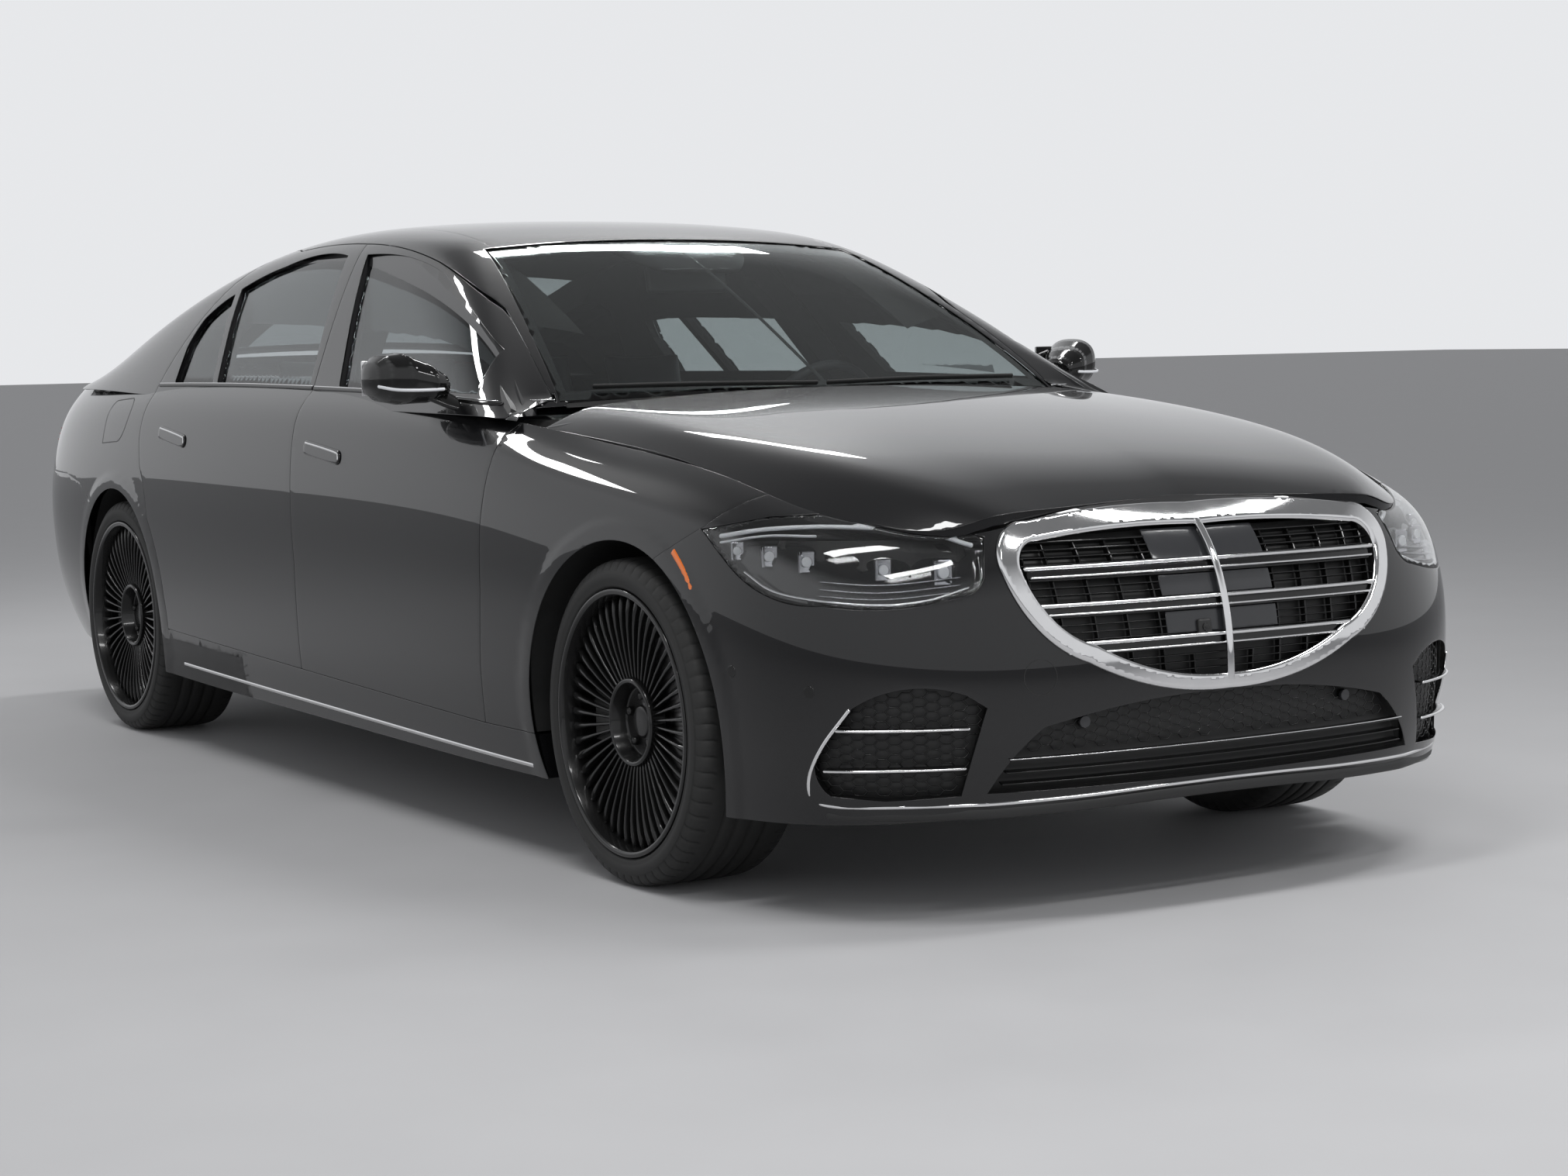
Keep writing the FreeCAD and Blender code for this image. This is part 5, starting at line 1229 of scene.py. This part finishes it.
# Headlamps: clear cover over a black housing with projector blocks and a white light guide
lens = wall_sheet([wall_region(FRONT_CORNER, HEADLAMP, 0.6, CORNER_PART)], [], CORNER_PART, 1.5, STEPS)
pair("headlamp_lens", lens, "car", lens_clear, "lamp_clear", ("headlamps",), thick=3)
lamp_back = nose_panel([wall_region(FRONT_CORNER, HEADLAMP, -3, CORNER_PART)], lift=-27, part=CORNER_PART)
pair("headlamp_housing", lamp_back, "car", gloss_black, "lamp_clear")
guide = bmesh.new()
GUIDE = [(-872, 770), (-985, 789), (-1120, 795), (-1300, 783), (-1400, 755)]
joined(guide, corner_bar(GUIDE, -9, 5, 4))
joined(guide, corner_bar([(s, z - 13) for s, z in GUIDE[:2]] + [(-1090, 778)], -10, 2.5, 3))
pair("headlamp_guide", guide, "car", white_guide, "lamp_clear")
STRIP = [(-1400, 672), (-1330, 651), (-1244, 642), (-1122, 649), (-1010, 665), (-940, 700)]
pair("headlamp_strip", corner_bar(STRIP, -7, 3, 4), "car", chrome, "lamp_clear")
# Projector blocks: middle of each in the corner view, width and height
BLOCKS = ((-905, 744, 40, 28), (-985, 737, 44, 34), (-1072, 730, 44, 34), (-1235, 716, 44, 34),
          (-1352, 708, 52, 40))
bezels, painted_lens_highlights = bmesh.new(), bmesh.new()
for s, z, wide, high in BLOCKS:
    place, n = spot_on(FRONT_CORNER, (s, z))
    facing = Vector((1, n.y * 0.35, 0)).normalized()
    outer = rounded_block(wide * MM, high * MM, 14 * MM, 4 * MM)
    top_faces = [f for f in outer.faces if f.normal.z > 0.99]
    bmesh.ops.inset_region(outer, faces=top_faces, thickness=5 * MM, depth=-4 * MM)
    joined(bezels, on_place(outer, place - n * 0.021, facing, math.pi / 2))
    # The white discs in the projector blocks are painted highlights for the glints on their lenses.
    inner = button(min(wide, high) * 0.3 * MM, 14 * MM, 24)
    joined(painted_lens_highlights, on_place(inner, place - n * 0.019, facing, math.pi / 2))
pair("headlamp_blocks", bezels, "car", dark_metal, "lamp_clear")
pair("headlamp_painted_highlights", painted_lens_highlights, "car", white_guide, "lamp_clear")
steps_low = bmesh.new()
for z in (690, 675, 662):
    joined(steps_low, corner_bar([(-1385, z + 4), (-1240, z - 8), (-1110, z - 2)], -16, 2, 8))
pair("headlamp_steps", steps_low, "car", dark_metal, "lamp_clear")

# Tail lamps
tail_lens = wall_panel([wall_region(REAR_CORNER, TAIL_LAMP, 0.6, TAIL_PART)], [], TAIL_PART, 18, 1.5,
                       relief=None)
pair("tail_lamp_lens", tail_lens, "car", lens_red, "lamp_red", ("tail_lamps",))
tail_lines = bmesh.new()
for drop in (0, 26, 52):
    line = [(-1310, 905 - drop), (-1200, 908 - drop), (-1085, 906 - drop * 0.7)]
    joined(tail_lines, bar_on(wall, REAR_CORNER, line, 2.5, 3, 2, TAIL_PART, 8))
pair("tail_lamp_lines", tail_lines, "car", lens_red, "lamp_red")

# Door mirrors: a smooth shell lofted over rows (y, low and high x, low and high z), with its glass, light
# strip and stalk
MIRROR = [(900, 820, 900, 1046, 1082), (912, 790, 912, 1036, 1096), (950, 740, 926, 1025, 1122),
          (1000, 692, 906, 1022, 1146), (1035, 696, 862, 1030, 1140), (1054, 716, 822, 1046, 1120),
          (1062, 742, 786, 1064, 1102)]
shell = bmesh.new()
bmesh.ops.create_circle(shell, cap_ends=True, segments=28, radius=1)
for v in shell.verts:
    v.co.x, v.co.y = (math.copysign(abs(a) ** 0.78, a) for a in (v.co.x, v.co.y))
section = shell.faces[:]
upright_ring = Matrix.Rotation(math.pi / 2, 4, "X")
spots = []
for y, x0, x1, z0, z1 in MIRROR:
    size = Matrix.Diagonal(((x1 - x0) / 2 * MM, (z1 - z0) / 2 * MM, 1, 1))
    spots.append(Matrix.Translation(((x0 + x1) / 2 * MM, y * MM, (z0 + z1) / 2 * MM)) @ upright_ring @ size)
placed(shell, spots[0])
for before, after in zip(spots, spots[1:]):
    made = bmesh.ops.extrude_face_region(shell, geom=section)["geom"]
    section = [g for g in made if isinstance(g, bmesh.types.BMFace)]
    fresh = [g for g in made if isinstance(g, bmesh.types.BMVert)]
    bmesh.ops.transform(shell, matrix=after @ before.inverted(), verts=fresh)
bmesh.ops.recalc_face_normals(shell, faces=shell.faces[:])
pair("mirror_shell", shell, "front_door_{side}", gloss_black, "body_paint", ("mirror_{side}",), rounds=2)
stalk_line = smooth_line([(905, 850, 1008), (900, 885, 1020), (880, 925, 1040), (860, 955, 1058)], 6) * MM
stalk_out = np.tile((0.2, 0.3, 1.0), (len(stalk_line), 1))
stalk = sweep(stalk_line, stalk_out, 34 * MM, 13 * MM, 16, (False, False))
pair("mirror_stalk", stalk, "front_door_{side}", gloss_black, "body_paint")
STRIP_LIGHT = [(925, 932, 1058), (921, 965, 1057), (905, 1005, 1057), (872, 1035, 1059), (822, 1055, 1066)]
strip_line = smooth_line(STRIP_LIGHT, 6) * MM
strip_out = np.stack([strip_line[:, 0] * 0 + 0.8, np.linspace(0, 1, len(strip_line)),
                      strip_line[:, 2] * 0 - 0.2], 1)
light_strip = sweep(strip_line - strip_out * 0.002, strip_out, 4 * MM, 3 * MM, 8)
pair("mirror_light", light_strip, "front_door_{side}", white_guide, "lamp_clear")
mirror_glass = placed(rounded_block(0.004, 0.120, 0.084, 0.0015),
                      Matrix.Translation((0.712, 0.985, 1.085)) @ Matrix.Rotation(0.34, 4, "Z"))
pair("mirror_glass", mirror_glass, "front_door_{side}", chrome, "grille_chrome")


def stadium(x0, z0, x1, z1, half, count=10):
    """A bar's outline with round ends."""
    lean = math.atan2(z1 - z0, x1 - x0)
    points = []
    for (cx, cz), start in (((x1, z1), lean - math.pi / 2), ((x0, z0), lean + math.pi / 2)):
        angles = [start + math.pi * k / count for k in range(count + 1)]
        points += [(cx + half * math.cos(a), cz + half * math.sin(a)) for a in angles]
    return points


# Door handles with a bright upper and front edge, in a satin black ring of painted shade that stands for the
# gap round each grip
for name, (x0, z0, x1, z1), part in (("front", (107, 903, 314, 882), (8, 13)),
                                     ("rear", (-1025, 921, -826, 899), (10, 14.5))):
    body = name + "_door_{side}"
    grip_loop, shade_ring_outer, shade_ring_inner = (wall.find(SIDE, stadium(x0, z0, x1, z1, half), part)
                                        for half in (15, 18.5, 15.2))
    grip = wall_sheet([grip_loop], [], part, 7)
    hem(grip, 8, 3.5)
    pair(name + "_handle", grip, body, paint, "body_paint")
    # The satin black ring is painted shade for the gap round the grip.
    handle_shade_ring = wall_sheet([shade_ring_outer], [shade_ring_inner], part, 2.3)
    pair(name + "_handle_gap", handle_shade_ring, body, satin_black, "underbody_black")
    line = [(x0 - 6, z0 + 11), ((x0 + x1) / 2, (z0 + z1) / 2 + 11.5), (x1 - 4, z1 + 11), (x1 + 9, z1 + 4),
            (x1 + 12, z1 - 5)]
    pair(name + "_handle_trim", bar_on(wall, SIDE, line, 5.6, 3.4, 2.4, part, 8), body, chrome,
         "grille_chrome")

marker = bar_on(wall, SIDE, [(1983, 730), (2020, 700), (2050, 668), (2069, 640)], 1.5, 8, 2.5, (4, 8), 8)
pair("side_marker", marker, "car", amber, "lamp_red")
SKIRT_LINE = [(-900, 252), (-300, 241), (300, 231), (1339, 213)]
skirt_strip = bar_on(wall, SIDE, SKIRT_LINE, 2.5, 5, 2.5, (5, 15), 12)
pair("skirt_trim", skirt_strip, "car", chrome, "grille_chrome")
# Fuel flap: a thin satin black ring round its outline is painted shade for the gap round the flap.
FUEL_FLAP = [(-1593, 876), (-1594, 940), ((-1584, 990), (-1552, 1008)), (-1412, 1016),
             ((-1374, 1000), (-1367, 961)), ((-1400, 902), (-1464, 883))]
flap_shade_outer, flap_shade_inner = (wall_region(SIDE, FUEL_FLAP, inset, (11, 16)) for inset in (0, 2.6))
flap_shade_ring = wall_sheet([flap_shade_outer], [flap_shade_inner], (11, 16), 2.4)
piece("fuel_flap_painted_shade", other_side(flap_shade_ring), "car", satin_black, "underbody_black")
flap_shade_ring.free()

# Black belt strips under the side windows, with a bright line
for name, points, part in (
        ("front", [(1080, 1022), (800, 1036), (400, 1047), (-18, 1053)], FRONT_FRAME_PART),
        ("rear", [(-32, 1054), (-500, 1058), (-900, 1058), (-1215, 1056)], REAR_FRAME_PART)):
    belt = bar_on(cabin, SIDE, points, 2, 6, 3, part, 10)
    pair(name + "_belt_strip", belt, name + "_door_{side}", gloss_black, "body_paint")
    bright = bar_on(cabin, SIDE, [(x, z + 4) for x, z in points], 3.6, 1.6, 1.6, part, 10)
    pair(name + "_belt_line", bright, name + "_door_{side}", chrome, "grille_chrome")

# Screens: black borders on the glass, the sensor block, inside mirror and wipers
for name, outline, part, wide in (("windscreen", SCREEN, SCREEN_PART, 26),
                                  ("rear_window", REAR_SCREEN, REAR_SCREEN_PART, 24)):
    outer, inner = (cabin_loop(FRONT, outline, inset, part) for inset in (1.5, wide))
    border = cabin_sheet([outer], [inner], part, -8)
    whole(name + "_border", border, "car", gloss_black, "underbody_black", thick=1)
SENSOR_PATCH = [(-20, 1352), (-20, 1431), (205, 1424), ((150, 1372), (105, 1352))]
patch = cabin_sheet([cabin_loop(FRONT, SENSOR_PATCH, 0, SCREEN_PART)], [], SCREEN_PART, -9)
whole("screen_sensor_patch", patch, "car", gloss_black, "underbody_black", thick=12)
inside_mirror = placed(rounded_block(0.022, 0.24, 0.07, 0.01),
                       Matrix.Translation((0.44, 0, 1.318)) @ Matrix.Rotation(-0.2, 4, "Y"))
piece("inside_mirror", inside_mirror, "car", satin_black, "interior_plastic")
WIPERS = ([(-10, 1046), (295, 1050), (600, 1048)], [(40, 1046), (325, 1050), (610, 1050)])
wipers = bmesh.new()
for line, turned in zip(WIPERS, (False, True)):
    arm = bar_on(cabin, FRONT, line, 9, 4, 7, (0, 2), 8)
    joined(wipers, other_side(arm) if turned else arm)
piece("wipers", wipers, "car", satin_black, "underbody_black")

plate = wall_panel([wall_region(FRONT, [(-20, 745), (-20, 857), (260, 857), (260, 745)], 0, LID_PART)], [],
                   LID_PART, 4, 5, relief=None)
whole("blank_plate", plate, "boot_lid", white_guide, "lamp_clear")


# Inside: seats as padded pieces, plinths, steering wheel, screens, door cards and headliner
def pad(size, crown, pull, channels=(), cuts=17):
    """A crowned closed form about the origin, with channels sewn along its top.

    Its sides pull in between the corners.
    """
    bm = bmesh.new()
    bmesh.ops.create_cube(bm, size=2)
    bmesh.ops.subdivide_edges(bm, edges=bm.edges[:], cuts=cuts, use_grid_fill=True)
    for v in bm.verts:
        x, y, z = v.co
        rim_x, rim_y = abs(x) ** 6, abs(y) ** 6
        high = (1 - crown + crown * (1 - x * x) * (1 - y * y)) * (1 - 0.3 * rim_x) * (1 - 0.3 * rim_y)
        sewn = 0.12 * sum(math.exp(-((y - c) / 0.05) ** 2) for c in channels) * (1 - rim_x) if z > 0.99 else 0
        v.co.x = x * (1 - pull * (1 - y * y) - 0.08 * z * z * rim_x) * size[0] / 2
        v.co.y = y * (1 - pull * (1 - x * x) - 0.08 * z * z * rim_y) * size[1] / 2
        v.co.z = (z * high - sewn) * size[2] / 2
    bmesh.ops.recalc_face_normals(bm, faces=bm.faces[:])
    return bm


def padded(name, bm, matrix, stands_for=()):
    placed(bm, matrix)
    made = piece(name, bm, "car", leather, "seat_leather", stands_for, weighted=False, rounds=1)


def seat(prefix, x, y, wide, heads, node=None):
    """Cushion, raked back and headrest; node is replaced by the cushion."""
    hinge = Vector((x - 0.25, 0, 0.43))
    rake = Matrix.Translation(hinge) @ Matrix.Rotation(math.radians(-20), 4, "Y") @ Matrix.Translation(-hinge)
    upright = Matrix.Rotation(math.pi / 2, 4, "Y")
    channels = (-2 / 3, -1 / 3, 0, 1 / 3, 2 / 3)
    low = (0.50, wide - 0.006, 0.136)
    padded(prefix + "_cushion", pad(low, 0.22, 0.05, channels), Matrix.Translation((x + 0.005, y, 0.400)),
           (node,) if node else ())
    back = (0.60, wide - 0.036, 0.126)
    padded(prefix + "_back", pad(back, 0.25, 0.06, channels),
           rake @ Matrix.Translation((x - 0.265, y, 0.705)) @ upright)
    for k, head_y in enumerate(heads):
        padded(f"{prefix}_headrest_{k}", pad((0.185, 0.25, 0.10), 0.35, 0.06),
               rake @ Matrix.Translation((x - 0.2675, head_y, 1.075)) @ upright)


seat("seat_left", 0.02, 0.37, 0.49, (0.37,), "front_seats")
seat("seat_right", 0.02, -0.37, 0.49, (-0.37,))
seat("bench_left", -0.70, 0.40, 0.47, (0.37,), "rear_bench")
seat("bench_right", -0.70, -0.40, 0.47, (-0.37,))
seat("bench_middle", -0.70, 0.0, 0.32, ())
plinths = bmesh.new()
for x, y, wide in ((0.025, 0.37, 0.36), (0.025, -0.37, 0.36), (-0.695, 0.40, 0.42), (-0.695, -0.40, 0.42)):
    joined(plinths, placed(rounded_block(0.36, wide, 0.09, 0.01), Matrix.Translation((x, y, 0.292))))
piece("seat_plinths", plinths, "car", cabin_plastic, "interior_plastic")

# Steering wheel, drawn about +Z and set on its column
GRIP_RADIUS = 0.0145
WHEEL_REACH = (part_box("steering_wheel")[1].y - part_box("steering_wheel")[0].y) / 2
column_at = Matrix.Translation((0.5, 0.37, 0.93)) @ Matrix.Rotation(math.radians(90 + 24), 4, "Y")
grip_at = Matrix.Translation((WHEEL_REACH - GRIP_RADIUS, 0, 0)) @ Matrix.Rotation(math.pi / 2, 4, "X")
wheel = bmesh.new()
bmesh.ops.create_circle(wheel, cap_ends=False, segments=16, radius=GRIP_RADIUS, matrix=grip_at)
bmesh.ops.spin(wheel, geom=wheel.verts[:] + wheel.edges[:], cent=(0, 0, 0), axis=(0, 0, 1), angle=math.tau,
               steps=64, use_merge=True)
bmesh.ops.remove_doubles(wheel, verts=wheel.verts[:], dist=1e-5)
bmesh.ops.recalc_face_normals(wheel, faces=wheel.faces[:])
joined(wheel, placed(button(0.058, 0.042, 40, 0.012), Matrix.Rotation(math.pi, 4, "X")))
for turn in (0, 90, 270):
    spoke_at = Matrix.Rotation(math.radians(turn), 4, "Z") @ Matrix.Translation((0.104, 0, -0.002))
    joined(wheel, placed(rounded_block(0.118, 0.036, 0.014, 0.004), spoke_at))
joined(wheel, placed(button(0.0238, 0.29, 24, 0.002), Matrix.Translation((0, 0, 0.15))))
piece("steering_wheel_skin", placed(wheel, column_at), "steering_wheel", cabin_plastic, "interior_plastic",
      ("steering_wheel",))

screens = bmesh.new()
for x, y, z, wide, high, tilt in ((0.650, 0.37, 0.975, 0.30, 0.115, 16), (0.608, 0.0, 0.875, 0.26, 0.19, 20)):
    panel_at = Matrix.Translation((x, y, z)) @ Matrix.Rotation(math.radians(tilt), 4, "Y")
    joined(screens, placed(rounded_block(0.012, wide, high, 0.004), panel_at))
piece("dash_screens", screens, "car", gloss_black, "interior_plastic")


def facing_in(bm):
    bmesh.ops.reverse_faces(bm, faces=bm.faces[:])
    return bm


FRONT_CARD = [door_bottom(900), (930, 420), (950, 600), (960, 760), (985, 1000), (60, 1000), (70, 750),
              (95, 600), door_bottom(90)]
REAR_CARD = [door_bottom(-40), (-60, 600), (-85, 750), (-100, 1000), (-1190, 1000), (-1180, 900),
             (-1150, 819), (-1110, 740), (-1090, 660), (arch_point(490, 500), arch_point(490, 356))]
CARD_DEPTH = -81    # from the outer surface to the door card
for name, outline, part in (("front", FRONT_CARD, FRONT_DOOR_PART), ("rear", REAR_CARD, REAR_DOOR_PART)):
    card = sheet_mesh(wall, [wall_region(SIDE, outline, 8, part)], [], STEPS, (*part, 0, 3.4), CARD_DEPTH)
    pair(name + "_door_card", facing_in(card), name + "_door_{side}", cabin_plastic, "interior_plastic")
for name, x, length in (("front", 0.50, 0.52), ("rear", -0.55, 0.46)):
    rest = placed(rounded_block(length, 0.05, 0.045, 0.015), Matrix.Translation((x, 0.868, 0.70)))
    pair(name + "_armrest", rest, name + "_door_{side}", leather, "seat_leather")
HEADLINER = [(1300, -20), (1300, 560), (-2300, 560), (-2300, -20)]
screen_holes = [cabin_loop(FRONT, SCREEN, -4, SCREEN_PART),
                cabin_loop(FRONT, REAR_SCREEN, -4, REAR_SCREEN_PART)]
headliner = facing_in(cabin_sheet([cabin_loop(TOP, HEADLINER)], screen_holes, (3, 9), -50))
both_sides(headliner)
if sum(f.normal.z for f in headliner.faces) > 0:
    facing_in(headliner)
piece("headliner", headliner, "car", cabin_plastic, "interior_plastic")


# The photograph's camera, measured from the car's own lines
view_at = Vector((7.26063, -3.85393, 1.16945))
yaw, pitch, roll = (math.radians(a) for a in (148.7326, -4.9098, -1.0576))
ahead = Vector((math.cos(pitch) * math.cos(yaw), math.cos(pitch) * math.sin(yaw), math.sin(pitch)))
level = ahead.cross(Vector((0, 0, 1))).normalized()
upright_way = level.cross(ahead)
right = math.cos(roll) * level + math.sin(roll) * upright_way
top = -math.sin(roll) * level + math.cos(roll) * upright_way
camera_data = bpy.data.cameras.new("photo_camera")
camera_data.lens = 67.46
camera = bpy.data.objects.new("photo_camera", camera_data)
bpy.context.scene.collection.objects.link(camera)
turn = Matrix((right, top, -ahead)).transposed()
camera.matrix_world = Matrix.Translation(view_at) @ turn.to_4x4()
bpy.context.scene.camera = camera
bpy.context.scene.view_settings.view_transform = "Standard"

world = bpy.data.worlds.new("studio")
bpy.context.scene.world = world
world.use_nodes = True
sky = world.node_tree.nodes["Background"]
sky.inputs["Color"].default_value = (0.84, 0.85, 0.87, 1)
# Pale walls all round under a dim ceiling; the camera sees a plain pale wall
way = world.node_tree.nodes.new("ShaderNodeTexCoord")
parts = world.node_tree.nodes.new("ShaderNodeSeparateXYZ")
height = world.node_tree.nodes.new("ShaderNodeMapRange")
for socket, value in (("From Min", 0.42), ("From Max", 0.6), ("To Min", 0.9), ("To Max", 0.24)):
    height.inputs[socket].default_value = value
paths = world.node_tree.nodes.new("ShaderNodeLightPath")
pick = world.node_tree.nodes.new("ShaderNodeMix")
pick.data_type = "FLOAT"
pick.inputs[3].default_value = 0.95
join = world.node_tree.links.new
join(way.outputs["Generated"], parts.inputs["Vector"])
join(parts.outputs["Z"], height.inputs["Value"])
join(paths.outputs["Is Camera Ray"], pick.inputs[0])
join(height.outputs["Result"], pick.inputs[2])
join(pick.outputs[0], sky.inputs["Strength"])


def lamp(name, place, target, width, length, power):
    data = bpy.data.lights.new(name, "AREA")
    data.shape = "RECTANGLE"
    data.size = width
    data.size_y = length
    data.energy = power
    light = bpy.data.objects.new(name, data)
    bpy.context.scene.collection.objects.link(light)
    way = Vector(target) - Vector(place)
    light.location = place
    light.rotation_euler = way.to_track_quat("-Z", "Y").to_euler()


for k, x in enumerate((5.6, 2.8, -3.0)):
    for side in (-1, 1):
        lamp(f"ceiling_{k}_{side}", (x, side * 1.9, 4.2), (x, side * 1.3, 0), 0.45, 2.0, 55)

floor_mesh = bmesh.new()
bmesh.ops.create_grid(floor_mesh, x_segments=1, y_segments=1, size=90)
floor_data = bpy.data.meshes.new("floor_plane")
floor_mesh.to_mesh(floor_data)
floor_mesh.free()
floor_plane = bpy.data.objects.new("floor_plane", floor_data)
bpy.context.scene.collection.objects.link(floor_plane)
floor_data.materials.append(finish_of("pale_floor", (0.5, 0.5, 0.51), (0.54, 0.54, 0.55), 3, (0.6, 0.7)))
